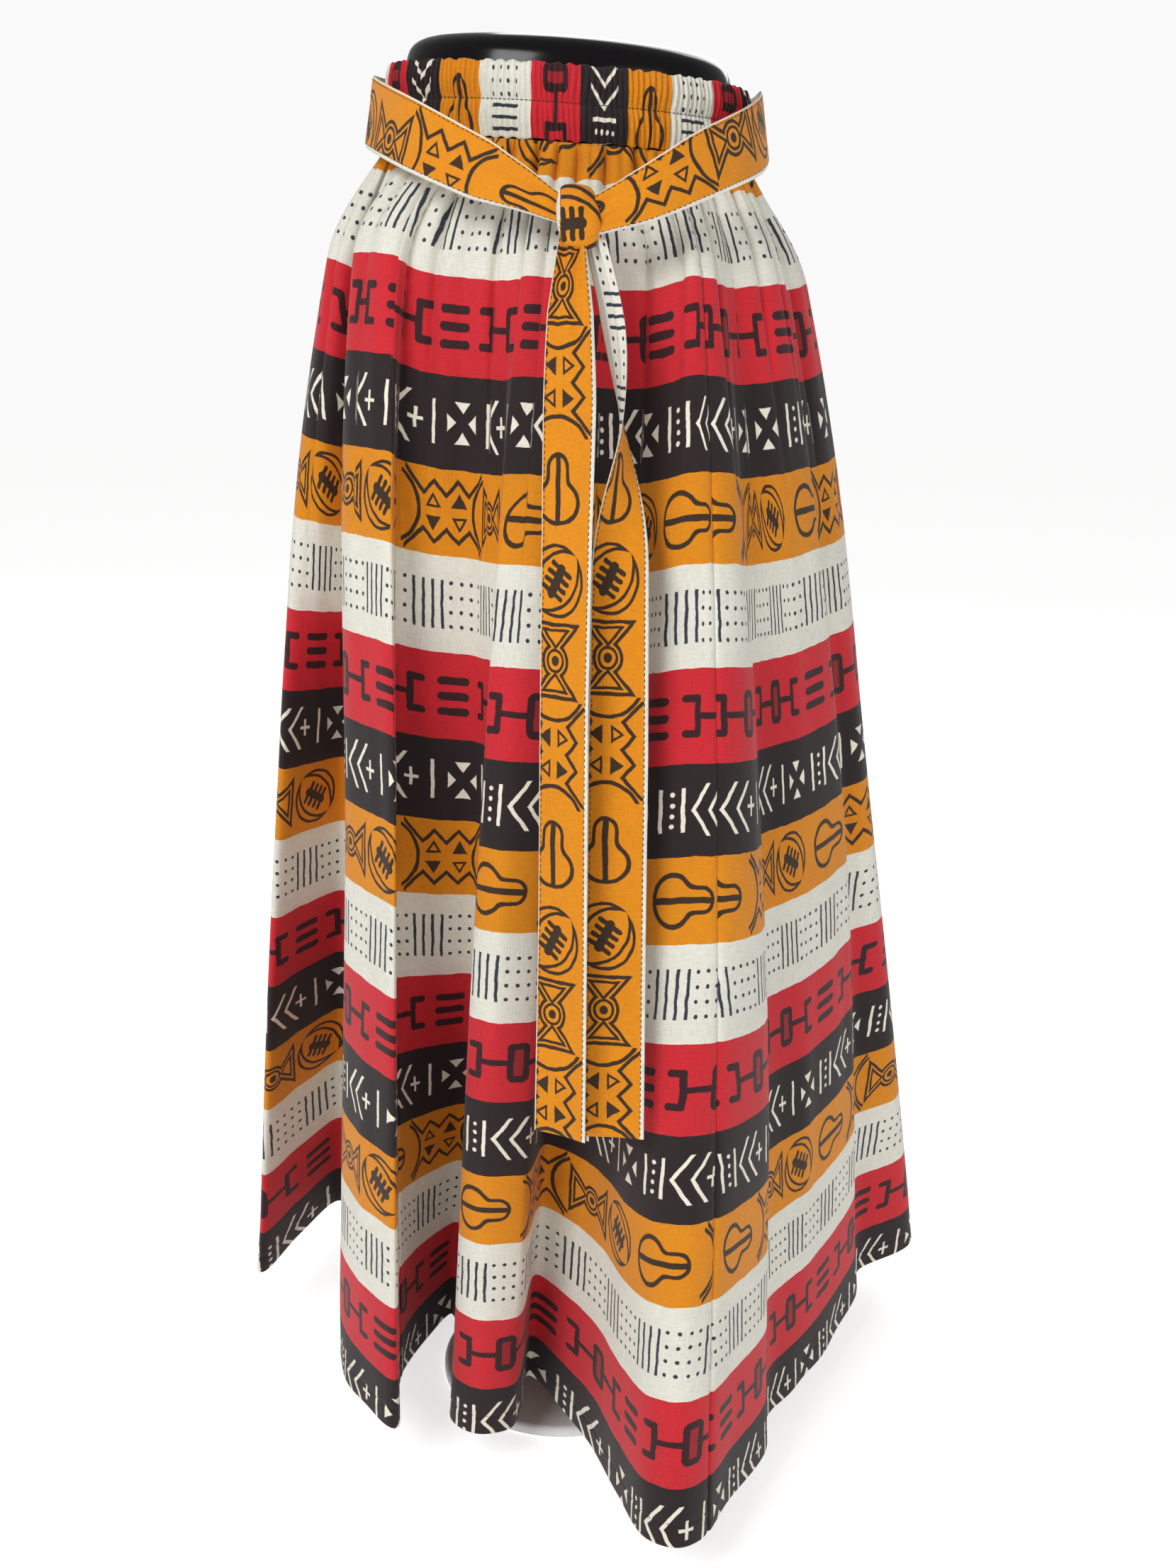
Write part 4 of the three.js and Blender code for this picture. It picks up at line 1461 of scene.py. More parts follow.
@dataclass
class SkirtPanel:
    """One panel of the skirt, from one seam to the next, with its gathers, creases and turned-up hem."""

    node: str
    start: str
    end: str
    end_print: tuple[float, float]
    cut: tuple[float, float]
    form: SkirtForm
    column_step: float = 4.8
    seam_columns: tuple[float, ...] = (0.012, 0.03, 0.06)
    fine_rows: float = 3.0
    coarse_rows: float = 7.0
    fine_until: float = 150.0
    hem_turn: float = 17.0
    hem_fold: float = 0.9
    hem_wave: float = 1.1
    hem_wave_height: float = 60.0
    stitch_sink: float = 0.45
    seam_calm: float = 9.0
    seam_inset: float = 0.12
    groove_depth: float = 1.7
    groove_width: float = 1.6
    pucker_depth: float = 0.45
    pucker_pitch: float = 13.0
    pucker_width: float = 7.0
    pocket: tuple[float, float] = (58.0, 218.0)
    pocket_ends: tuple[float, float] = (0.0, 0.0)
    pocket_width: float = 11.0
    pinch_level: float = 60.0
    pinch_pitch: float = 19.0
    pinch_width: float = 2.3
    pinch_columns: tuple[float, float] = (0.5, 2.2)
    pinch_depth: float = 7.5
    pinch_crown: float = 1.6
    crown_reach: float = 110.0
    short_pinch: float = 0.6
    short_pinch_reach: float = 30.0
    print_crowded_until: float = 205.0
    print_eased_over: float = 220.0
    least_slack: float = 0.006

    def __post_init__(self) -> None:
        """Finds the panel's fold lines, and counts the creases between its gathers along it."""
        self.first = FOLD_INDEX[self.start]
        self.last = FOLD_INDEX[self.end]
        if self.last <= self.first:
            self.last += self.form.count
        self.dense = np.linspace(self.first, self.last, 60 * (self.last - self.first) + 1)
        arc = length_along(self.form.plan_points(self.dense, np.array([self.pinch_level]))[0])
        uneven = 0.3 * np.sin(arc / 43.0) + 0.15 * np.sin(arc / 17.0 + 1.0)
        self.turns = arc / self.pinch_pitch + uneven

    def places(self) -> np.ndarray:
        """Where the columns of points stand, closer together beside the seams and in the creases.

        Returns:
            Places counted in fold lines, shape (C,).
        """
        result = [self.pinch_places(), [float(self.last)]]
        for k in range(self.first, self.last):
            count = max(4, round(self.form.hem_lengths[k % self.form.count] / self.column_step))
            result.append(k + np.arange(count) / count)
        near = np.array(self.seam_columns)
        result += [self.first + near, self.last - near]
        return np.unique(np.concatenate(result))

    def pinch_places(self) -> np.ndarray:
        """The close columns that make each crease between the gathers.

        Returns:
            Places counted in fold lines.
        """
        clear, margin = 0.3, 0.02
        numbers = np.arange(math.ceil(self.turns[0] + clear), math.floor(self.turns[-1] - clear) + 1)
        aside = np.array(self.pinch_columns) / self.pinch_pitch
        wanted = numbers[:, None] + np.concatenate([-aside, aside])[None, :]
        found = np.interp(wanted.ravel(), self.turns, self.dense)
        return np.clip(found, self.first + margin, self.last - margin)

    def slack(self, places: np.ndarray, drops: np.ndarray) -> np.ndarray:
        """The share of the spare cloth that lies between each column and the next.

        Near the waist it is in the middle of each crease between the gathers, and further down it is
        in the recesses.

        Args:
            places: places of the columns, counted in fold lines.
            drops: distances of the rows down the cloth.

        Returns:
            Shares, shape (R, C - 1).
        """
        lines = np.floor(places[:-1] + 1e-6).astype(int) % self.form.count
        run = np.array([FOLD_LINES[k].run.value for k in lines])
        turn = np.interp(places, self.dense, self.turns)
        turn = 0.5 * (turn[:-1] + turn[1:])
        middle = np.abs(turn - np.round(turn)) < 0.2 * self.pinch_columns[0] / self.pinch_pitch
        pinched = np.where(middle, 1.0, self.least_slack)
        near_waist = (1.0 - eased((drops - self.print_crowded_until) / self.print_eased_over))[:, None]
        return run[None, :] * (1.0 - near_waist) + pinched[None, :] * near_waist

    def print_places(self, places: np.ndarray, drops: np.ndarray, points: np.ndarray) -> np.ndarray:
        """Where along the printed rows each point lies.

        The print keeps its width on the faces, and the slack takes up what the cloth has over or short.

        Args:
            places: places of the columns, counted in fold lines.
            drops: distances of the rows down the cloth.
            points: the points of the cloth.

        Returns:
            Places in millimetres, shape (R, C).
        """
        steps = np.linalg.norm(np.diff(points[..., :2], axis=1), axis=-1)
        arc = running_total(steps)
        slack = running_total(self.slack(places, drops) * steps)
        anchors = []
        for k in range(self.first, self.last):
            line = FOLD_LINES[k % self.form.count]
            if line.print_mid is not None:
                anchors.append((k, line.print_mid, line.print_hem))
        anchors.append((self.last, *self.end_print))
        mid, hem = self.form.sizes.levels[2:]
        share = np.clip((drops - mid) / (hem - mid), 0.0, 1.0)
        result = np.empty_like(arc)
        for (k0, mid0, hem0), (k1, mid1, hem1) in zip(anchors, anchors[1:]):
            c0, c1 = np.searchsorted(places, [k0 - 1e-6, k1 - 1e-6])
            start = mid0 + (hem0 - mid0) * share
            end = mid1 + (hem1 - mid1) * share
            over = (end - start) - (arc[:, c1] - arc[:, c0])
            part = (slack[:, c0 : c1 + 1] - slack[:, [c0]]) / (slack[:, [c1]] - slack[:, [c0]])
            away = arc[:, c0 : c1 + 1] - arc[:, [c0]]
            result[:, c0 : c1 + 1] = start[:, None] + away + over[:, None] * part
        return result

    def gathers(self, places: np.ndarray, drops: np.ndarray) -> np.ndarray:
        """How far the gathers below the waistband lift the cloth.

        Args:
            places: places of the columns, counted in fold lines.
            drops: distances of the rows down the cloth.

        Returns:
            Lifts, shape (R, C).
        """
        turn = np.interp(places, self.dense, self.turns)
        number = np.round(turn)
        in_crease = bump((turn - number) * self.pinch_pitch, self.pinch_width)
        half = turn - 0.5
        in_short = bump((half - np.round(half)) * self.pinch_pitch, self.pinch_width)
        down = drops[:, None]
        across = 1.6 * self.pinch_pitch * turn[None, :] * np.ones_like(down)
        result = np.zeros_like(across)
        for k, wave in enumerate(GATHER_WAVES):
            phase = 1.7 * k + 1.3 * np.sin(across / (wave.width * 2.3) + 2.1 * k) + 0.004 * down * (k - 1.5)
            patchy = 0.7 + 0.3 * np.sin(across / (wave.width * 1.7) + 0.6 * k)
            shape = ridges(math.pi * across / wave.width + 0.5 * phase)
            result += wave.height * patchy * shape * np.exp(-down / wave.fade)
        reach = 125.0 + 65.0 * np.sin(2.4 * number)
        depth = self.pinch_depth * (0.75 + 0.25 * np.sin(1.7 * number + 1.0))
        crown = self.pinch_crown * np.cos(2 * math.pi * turn)
        result -= crown * np.exp(-np.square(down / self.crown_reach))
        result -= depth * in_crease * np.exp(-np.square(down / reach))
        result -= self.short_pinch * self.pinch_depth * in_short * np.exp(-down / self.short_pinch_reach)
        return result * (eased(down / 9.0) * 0.7 + 0.3)

    def creases(self, places: np.ndarray, drops: np.ndarray, arc: np.ndarray) -> np.ndarray:
        """How far the listed creases lift or sink the cloth.

        Args:
            places: places of the columns, counted in fold lines.
            drops: distances of the rows down the cloth.
            arc: how far each point lies along its row, shape (R, C).

        Returns:
            Lifts, shape (R, C).
        """
        result = np.zeros((len(drops), len(places)))
        spacing = np.gradient(arc, places, axis=1)
        for crease in FRONT_CREASES + BACK_CREASES:
            for turn in (0, self.form.count):
                centre = crease.fold + turn + crease.lean * (drops - crease.drop_from) / 100.0
                if centre.max() < places[0] - 1 or centre.min() > places[-1] + 1:
                    continue
                middle = 0.5 * (crease.drop_from + crease.drop_to)
                reach = 0.5 * (crease.drop_to - crease.drop_from)
                window = eased(1.0 - np.abs(drops - middle) / reach) ** 0.7
                away = (places[None, :] - centre[:, None]) * spacing
                result += crease.depth * window[:, None] * bump(away, crease.width)
        return result

    def sewn_relief(self, print_at: np.ndarray, down: np.ndarray, edge: np.ndarray) -> np.ndarray:
        """How far the seams, the hem's waves and its stitched line lift or sink the cloth.

        Args:
            print_at: place of each point along the printed rows, shape (R, C).
            down: distances of the rows down the cloth, shape (R, 1).
            edge: how far each point lies from the nearer seam, shape (R, C).

        Returns:
            Lifts, shape (R, C).
        """
        length = self.form.sizes.length
        wave = np.sin(2 * math.pi * down / self.pucker_pitch + 1.1 * np.sin(down / 41.0))
        pucker = self.pucker_depth * wave * bump(edge, self.pucker_width)
        groove = -self.groove_depth * bump(edge, self.groove_width)
        at_hem = eased((down - length + self.hem_wave_height) / self.hem_wave_height)
        hem = self.hem_wave * np.sin(print_at / 17.0 + 2.0 * np.sin(print_at / 61.0)) * at_hem
        stitches = -self.stitch_sink * bump(down - (length - self.hem_turn), 1.0)
        return (pucker + groove) * eased(down / 10.0) + hem * eased(edge / 12.0) + stitches

    def build(self, finish: bpy.types.Material, thread: bpy.types.Material) -> bpy.types.Object:
        """Builds and dresses the panel and sews its hem.

        Args:
            finish: its material.
            thread: the material of its stitches.

        Returns:
            The panel.
        """
        sizes = self.form.sizes
        places = self.places()
        drops = row_places(sizes.length, self.fine_until, self.fine_rows, self.coarse_rows)
        down = drops[:, None]
        points, normals = self.form.surface(places, drops)
        arc = length_along(points)
        to_end = arc[:, -1:] - arc
        edge = np.minimum(arc, to_end)
        print_at = self.print_places(places, drops, points)
        relief = self.gathers(places, drops) + self.creases(places, drops, arc)
        relief = relief * eased(edge / self.seam_calm) + self.sewn_relief(print_at, down, edge)
        middle = points + normals * relief[..., None]
        pocket_middle, pocket_half = sum(self.pocket) / 2, (self.pocket[1] - self.pocket[0]) / 2
        mouth = eased(1.0 - np.abs(down - pocket_middle) / pocket_half) ** 0.6
        for column, beside, away, lift in zip((0, -1), (1, -2), (arc, to_end), self.pocket_ends):
            middle[:, column] += unit(points[:, beside] - points[:, column]) * self.seam_inset
            middle += normals * (lift * mouth * bump(away, self.pocket_width))[..., None]
        hem_line = sizes.length - self.hem_turn
        turned_up = self.hem_fold * eased((down - hem_line) / 1.2) * np.ones_like(relief)
        outer = middle + normals * (sizes.cloth / 2)
        inner = middle - normals * (sizes.cloth / 2 + turned_up)[..., None]
        cloth = np.stack([print_at, down * np.ones_like(print_at)], axis=-1)
        panel = shell(f"{self.node}_cloth", outer, inner, cloth)
        dress(panel, finish, self.node)
        hem_row = int(np.argmin(np.abs(drops - hem_line)))
        name = f"{self.node}_hem_stitches"
        sew(name, outer[hem_row], normals[hem_row], Stitch(), thread)
        return panel


# ---------------------------------------------------------------- waistband
@dataclass
class Waistband:
    """A strip folded over two elastics: two gathered channels with a stitched line between them."""

    form: SkirtForm
    columns: int = 1360
    rib: float = 3.8
    gather_ratio: float = 2.0
    print_start: float = 58.6
    rows: tuple[tuple[float, float, float], ...] = (
        (0.0, 0.4, 0.55),
        (0.06, 1.3, 1.0),
        (0.25, 3.2, 1.15),
        (0.44, 1.9, 0.95),
        (0.5, 0.7, 0.45),
        (0.56, 1.9, 0.95),
        (0.75, 3.2, 1.15),
        (0.94, 1.6, 1.0),
        (1.0, 0.6, 0.9),
    )
    inside: float = -1.6
    inner_share: float = 0.85
    frill_height: float = 0.7
    stitch_line: float = 1.25
    print_across: float = 747.0

    def ring(self) -> tuple[np.ndarray, np.ndarray, np.ndarray]:
        """Plan points round the waist, their outward directions and their places from the front.

        Returns:
            Points and directions, each of shape (C, 2), and distances along the waist, shape (C + 1,).
        """
        sizes = self.form.sizes
        angle = np.linspace(-math.pi, math.pi, self.columns, endpoint=False)
        x = sizes.waist_half_width * np.sin(angle)
        y = -sizes.waist_half_depth * np.cos(angle)
        away = unit(np.stack([x / sizes.waist_half_width**2, y / sizes.waist_half_depth**2], axis=1))
        plan = np.stack([x, y], axis=1)
        steps = np.linalg.norm(np.roll(plan, -1, axis=0) - plan, axis=1)
        along = running_total(steps)
        return plan, away, along - along[self.columns // 2]

    def gather(self, along: np.ndarray, share: float) -> np.ndarray:
        """Rounded ribs with narrow creases between them, uneven along the waist and up its height.

        Args:
            along: distances along the waist.
            share: how far up the waistband, from 0 to 1.

        Returns:
            Heights of the ribs about 0, one for each distance.
        """
        shift = 0.9 * math.sin(5.0 * share) + 1.4 * eased((share - 0.45) / 0.1)
        slow = 1.5 * np.sin(along / 9.1 + 3.0 * share) + 1.1 * np.sin(along / 23.0 + 1.0)
        ribs = ridges(math.pi * along / self.rib + 0.5 * (slow + shift))
        broad = np.sin(2 * math.pi * along / 8.9 + 1.3 * np.sin(along / 31.0) - 1.7 * share)
        return 1.05 * ribs + 0.3 * broad

    def frill(self, along: np.ndarray, share: float) -> np.ndarray:
        """How far the cloth's two long edges wave up and down."""
        wave = np.sin(along / 1.9 + 2.0 * np.sin(along / 7.0))
        return self.frill_height * (abs(share - 0.5) * 2) ** 8 * wave

    def build(self, finish: bpy.types.Material, thread: bpy.types.Material) -> bpy.types.Object:
        """Builds and dresses the waistband and sews the line between its channels.

        Args:
            finish: its material.
            thread: the material of its stitches.

        Returns:
            The waistband.
        """
        sizes = self.form.sizes
        plan, away, along = self.ring()
        shares = np.linspace(0.0, 1.0, 29)[::-1]
        stops, puff_rows, gather_rows = np.array(self.rows).T
        puffs = spline_through(stops, puff_rows, shares)
        gathers = spline_through(stops, gather_rows, shares)
        base = sizes.waist_seam + sizes.seam_gap + sizes.tilt_lift(plan[:, 0])
        outer, inner = [], []
        for share, puff, height in zip(shares, puffs, gathers):
            wave = self.gather(along[:-1], share)
            out = puff + height * wave
            z = base + share * sizes.waistband + self.frill(along[:-1], share)
            outer.append(np.column_stack([plan + away * out[:, None], z]))
            depth = self.inside + self.inner_share * height * wave
            inner.append(np.column_stack([plan + away * depth[:, None], z]))
        outer, inner = np.array(outer), np.array(inner)
        across = (sizes.waistband * (1.0 - shares))[:, None] * np.ones(len(along))[None, :]
        rolls = self.gather_ratio * (along + self.print_start) + BandPrint.first_band
        cloth = np.stack([self.print_across - across, rolls[None, :] * np.ones_like(across)], axis=-1)
        band = shell("waistband_cloth", outer, inner, cloth, wrap=True)
        line = np.column_stack([plan + away * self.stitch_line, base + 0.5 * sizes.waistband])
        facing = np.column_stack([away, np.zeros(len(away))])
        sew("waistband_stitches", line, facing, Stitch(length=2.2, gap=0.8), thread)
        dress(band, finish, "waistband")
        return band


# ---------------------------------------------------------------- tie belt
@dataclass(frozen=True)
class Station:
    """A place along the tie: its middle, its width, and lean or turn of the strip there."""

    x: float
    y: float
    z: float
    width: float
    turn: float


LOOP = (
    Station(0, -153, 967, 15, 1),
    Station(-28, -151, 981, 27, 2),
    Station(-55, -144, 993, 38, 4),
    Station(-104, -109, 1017, 44, 5),
    Station(-139, -32, 1038, 46, 7),
    Station(-127, 46, 1042, 46, 3),
    Station(-68, 101, 1038, 46, 1),
    Station(0, 113, 1035, 46, 1),
    Station(68, 101, 1032, 46, 1),
    Station(127, 46, 1030, 46, 3),
    Station(138, -24, 1031, 46, 7),
    Station(126, -93, 1016, 45, 6),
    Station(91, -138, 998, 42, 4),
    Station(50, -158, 977, 33, 2),
    Station(15, -155, 963, 22, 1),
)
LEFT_TAIL = (
    Station(5, -158, 952, 17, 4),
    Station(4, -171, 905, 30, 8),
    Station(4, -186, 850, 37, 22),
    Station(3, -200, 770, 39, 32),
    Station(2, -215, 660, 39, 34),
    Station(2, -235, 510, 39, 32),
    Station(1, -250, 358, 40, 28),
)
RIGHT_TAIL = (
    Station(19, -152, 952, 14, -150),
    Station(31, -158, 900, 20, -138),
    Station(38, -174, 830, 30, -84),
    Station(38, -193, 740, 38, 8),
    Station(38, -209, 620, 41, 10),
    Station(38, -227, 500, 41, 9),
    Station(38, -244, 354, 42, 6),
)


class StripLine:
    """A smooth line through stations, read at equal steps."""

    def __init__(self, stations: tuple[Station, ...], step: float) -> None:
        """Reads the line's points, headings and the stations' other values."""
        knots = np.array([[s.x, s.y, s.z] for s in stations], dtype=float)
        spans = len(stations) - 1
        dense = np.linspace(0.0, spans, 40 * spans + 1)
        segment = np.minimum(dense.astype(int), spans - 1)
        path = centripetal(knots, segment, dense - segment, closed=False)
        length = length_along(path)
        self.length = float(length[-1])
        count = int(math.ceil(self.length / step))
        self.distance = np.linspace(0.0, self.length, count + 1)
        place = np.interp(self.distance, length, dense)
        segment = np.minimum(place.astype(int), spans - 1)
        self.points = centripetal(knots, segment, place - segment, closed=False)
        self.heading = unit(np.gradient(self.points, axis=0))
        order = np.arange(len(stations))
        self.width = np.interp(place, order, [s.width for s in stations])
        self.turn = np.interp(place, order, [s.turn for s in stations])


@dataclass
class TieBelt:
    """The tie belt: a loop round the waist, a knot and two hanging tails, cut from the orange band."""

    finish: bpy.types.Material
    thread: bpy.types.Material
    thickness: float = 1.6
    step: float = 3.5
    width: float = 46.0
    upper_edge: float = 240.0
    reverse_at: float = 330.0
    pipings: tuple[float, float] = (1.1, 3.0)
    piping_print: float = 291.0
    left_arm_print: float = 693.7
    right_arm_print: float = 724.7
    tail_print: float = 876.0
    knot_at: tuple[float, float, float] = (8.0, -156.0, 964.0)
    knot_half: tuple[float, float, float] = (13.5, 10.0, 20.5)

    def shares(self) -> np.ndarray:
        """Where the columns of points stand across the strip, with two at each white edge.

        Returns:
            Shares of the width, from -0.5 to 0.5.
        """
        near_white = np.array([[0.0, white - 0.15, white + 0.05] for white in self.pipings])
        first, second = 0.5 - near_white / self.width
        inside = np.linspace(-0.45, 0.41, 13)
        return np.concatenate([-first, inside, second[::-1]])

    def strip(
        self,
        name: str,
        node: str,
        middle: np.ndarray,
        across: np.ndarray,
        facing: np.ndarray,
        width: np.ndarray,
        cloth_u: np.ndarray,
        ripple: np.ndarray,
        upside_down: np.ndarray | bool = False,
    ) -> bpy.types.Object:
        """A strip of doubled cloth along a line.

        Args:
            name: the piece's name.
            node: the node that it replaces.
            middle: points along its middle, shape (R, 3).
            across: direction from its first edge to its second, shape (R, 3).
            facing: direction out of its front, shape (R, 3).
            width: its width at each point.
            cloth_u: place along the printed row at each point.
            ripple: how far its front is lifted, shape (R, C).
            upside_down: where the print's lower edge comes first.

        Returns:
            The piece.
        """
        share = self.shares()
        rounded = np.sqrt(np.clip(1.0 - (np.abs(share) * 2) ** 8, 0.0, 1.0))
        half = self.thickness / 2
        spread = middle[:, None, :] + across[:, None, :] * (width[:, None] * share)[..., None]
        front = spread + facing[:, None, :] * (ripple + half * rounded)[..., None]
        back = spread + facing[:, None, :] * (ripple - half * rounded)[..., None]
        real = (self.width * (share + 0.5))[None, :] * np.ones((len(middle), 1))
        turned = np.broadcast_to(upside_down, len(middle))[:, None]
        printed = self.upper_edge + np.where(turned, self.width - real, real)
        white = (real < self.pipings[0]) | (self.width - real < self.pipings[1])
        printed = np.where(white, self.piping_print, printed)
        along = cloth_u[:, None] * np.ones(len(share))
        cloth = np.stack([along, printed], axis=-1)
        reverse = np.stack([along, self.reverse_at - real], axis=-1)
        piece = shell(name, front, back, cloth, reverse)
        dress(piece, self.finish, node)
        self.topstitch(name, front)
        return piece

    def topstitch(self, name: str, front: np.ndarray) -> None:
        """Sews a row of stitches beside each edge of a strip, given the points of its front."""
        across = unit(np.gradient(front, axis=1))
        along = unit(np.gradient(front, axis=0))
        facing = unit(np.cross(along, across))
        for side, column in (("first", 3), ("second", -2)):
            row = f"{name}_{side}_stitches"
            sew(row, front[:, column], facing[:, column], Stitch(), self.thread)

    def loop(self) -> bpy.types.Object:
        """The loop round the waist, from the knot round the left, the back and the right to the knot."""
        line = StripLine(LOOP, self.step)
        heading = line.heading
        up = np.array([0.0, 0.0, 1.0]) - heading * heading[:, 2:3]
        up = unit(up)
        level = unit(heading * np.array([1.0, 1.0, 0.0]))
        out = np.stack([-level[:, 1], level[:, 0], np.zeros(len(level))], axis=1)
        lower = line.points - up * (line.width / 2)[:, None] + out * (line.turn / 2)[:, None]
        upper = line.points + up * (line.width / 2)[:, None] - out * (line.turn / 2)[:, None]
        across = unit(lower - upper)
        width = np.linalg.norm(lower - upper, axis=1)
        share = 2.0 * self.shares()
        from_knot = np.minimum(line.distance, line.length - line.distance)
        tight = np.exp(-from_knot / 45.0)[:, None]
        ripple = 1.5 * tight * np.cos(2.6 * math.pi * share + 0.4)[None, :]
        wander = np.sin(line.distance / 37.0)[:, None] * np.cos(math.pi * share)[None, :]
        ripple = ripple + 0.7 * wander * np.exp(-from_knot / 260.0)[:, None]
        on_left = line.distance < line.length / 2
        cloth_u = np.where(
            on_left, self.left_arm_print + line.distance, self.right_arm_print + line.length - line.distance
        )
        order = slice(None, None, -1)
        piece = self.strip(
            "tie_loop_cloth", "tie_loop", line.points[order], across[order], out[order],
            width[order], cloth_u[order], ripple[order], on_left[order],
        )
        return piece

    def tail(self, side: str, stations: tuple[Station, ...], cloth_start: float) -> bpy.types.Object:
        """One hanging tail, whose edges run down.

        Args:
            side: left or right.
            stations: places along it.
            cloth_start: place along the printed row at its top.

        Returns:
            The tail.
        """
        line = StripLine(stations, self.step)
        turn = np.radians(line.turn)
        across = np.stack([np.cos(turn), -np.sin(turn), np.zeros(len(turn))], axis=1)
        facing = unit(-np.cross(across, line.heading))
        share = 2.0 * self.shares()
        tight = np.exp(-line.distance / 70.0)[:, None]
        ripple = 2.6 * tight * np.cos(2.4 * math.pi * share + 0.7)[None, :]
        slow = np.sin(line.distance / 55.0 + 0.8)[:, None] * np.cos(0.5 * math.pi * share)[None, :]
        curl = (line.distance / line.length)[:, None] * (share**2)[None, :]
        ripple = ripple + 1.1 * slow + 1.2 * curl
        piece = self.strip(
            f"tie_tail_{side}_cloth", f"tie_tail_{side}", line.points, across, facing,
            line.width, cloth_start - line.distance, ripple,
        )
        return piece

    def knot(self) -> bpy.types.Object:
        """The knot: a rounded lump of wrapped cloth with slanting folds."""
        centre = np.array(self.knot_at)
        rings, columns = 44, 72
        polar = math.pi * (0.02 + 0.96 * np.linspace(0.0, 1.0, rings))
        angle = np.linspace(0.0, 2 * math.pi, columns, endpoint=False)
        reach = np.sin(polar) ** 0.6
        level = np.sign(np.cos(polar)) * np.abs(np.cos(polar)) ** 0.8
        fold = 1 + 0.06 * np.cos(3 * angle[None, :] - 2 * level[:, None])
        half = self.knot_half
        x = half[0] * reach[:, None] * fold * np.cos(angle) - 1.5 * level[:, None]
        y = half[1] * reach[:, None] * fold * np.sin(angle)
        z = half[2] * level[:, None] * np.ones(columns)
        slant = x * 0.55 - z * 0.84
        wrap_fold = (1.3 * np.abs(np.sin(slant / 5.2 + 0.4 * np.sin(z / 6.0))) - 0.5) * reach[:, None]
        out = unit(np.stack([x, y, z], axis=-1) / np.square(half))
        points = np.stack([x, y, z], axis=-1) + out * wrap_fold[..., None] + centre
        piece = lathe("tie_knot_cloth", points)
        layer = piece.data.uv_layers.new(name="Cloth")
        for loop in piece.data.loops:
            at = piece.data.vertices[loop.vertex_index].co / METRES
            along = (at.x - centre[0]) * 0.84 + (at.z - centre[2]) * 0.55
            over = (at.x - centre[0]) * 0.55 - (at.z - centre[2]) * 0.84
            printed = self.piping_print if at.x - centre[0] < -11.0 else 254.0 + over
            layer.data[loop.index].uv = ((662.0 + along) * METRES, printed * METRES)
        dress(piece, self.finish, "tie_knot")
        return piece

    def build(self) -> list[bpy.types.Object]:
        """Builds and dresses the whole belt."""
        return [
            self.loop(),
            self.knot(),
            self.tail("left", LEFT_TAIL, self.tail_print),
            self.tail("right", RIGHT_TAIL, self.tail_print),
        ]


# ---------------------------------------------------------------- pocket facings
@dataclass
class PocketFacing:
    """The strip of cloth that shows inside a side pocket's mouth."""

    node: str
    seam: str
    form: SkirtForm
    depth: float = 4.0
    drop_from: float = 40.0
    drop_to: float = 285.0
    reach: float = 0.42

    def build(self, finish: bpy.types.Material) -> bpy.types.Object:
        """Builds and dresses the facing.

        Args:
            finish: its material.

        Returns:
            The facing.
        """
        centre = float(FOLD_INDEX[self.seam])
        places = np.linspace(centre - self.reach, centre + self.reach, 11)
        drops = np.linspace(self.drop_from, self.drop_to, 60)
        points, normals = self.form.surface(places, drops)
        middle = points - normals * (self.depth + 0.6)
        along = np.ones((len(drops), 1)) * (places - centre) * 60.0 + 30.0
        cloth = np.stack([along, drops[:, None] * np.ones(len(places))], axis=-1)
        half = self.form.sizes.cloth / 2
        piece = shell(f"{self.node}_cloth", middle + normals * half, middle - normals * half, cloth)
        dress(piece, finish, self.node)
        return piece


# ---------------------------------------------------------------- dress form and stand
@dataclass
class DressForm:
    """A smooth, limbless dress form with a rounded flat top."""

    sizes: SkirtSizes
    tilt_from: float = 900.0
    rows: tuple[tuple[float, float, float], ...] = (
        (806, 88, 62),
        (812, 104, 75),
        (850, 128, 92),
        (900, 132, 95),
        (950, 126, 92),
        (1010, 119, 90),
        (1056, 117, 89),
        (1074, 113, 85),
        (1081, 104, 77),
        (1084, 88, 64),
    )
    heel: tuple[tuple[float, float], ...] = ((-0.3, 0.05), (-0.3, 0.5), (-0.3, 0.92))
    crown: tuple[tuple[float, float], ...] = ((0.35, 0.85), (0.7, 0.6), (0.9, 0.3), (1.0, 0.05))

    def build(self, finish: bpy.types.Material) -> bpy.types.Object:
        """Builds and dresses the form.

        Args:
            finish: its material.

        Returns:
            The form.
        """
        table = np.array(self.rows, dtype=float)
        along = running_total(np.hypot(np.diff(table[:, 0]), np.diff(table[:, 1])))
        fine = spline_through(along, table, np.linspace(0.0, along[-1], 80))
        closed = []
        for row, ends in ((fine[0], self.heel), (fine[-1], self.crown)):
            closed.append(np.array([[row[0] + lift, row[1] * share, row[2] * share] for lift, share in ends]))
        rings = np.concatenate([closed[0], fine, closed[1]])[::-1]
        angle = np.linspace(0.0, 2 * math.pi, 112, endpoint=False)
        loops = []
        for z, half_width, half_depth in rings:
            x, y = half_width * np.cos(angle), half_depth * np.sin(angle)
            share = np.clip((z - self.tilt_from) / (self.sizes.waist_seam - self.tilt_from), 0.0, 1.0)
            loops.append(np.column_stack([x, y, z + share * self.sizes.tilt_lift(x)]))
        piece = lathe("dress_form_shell", np.array(loops))
        dress(piece, finish, "dress_form")
        return piece


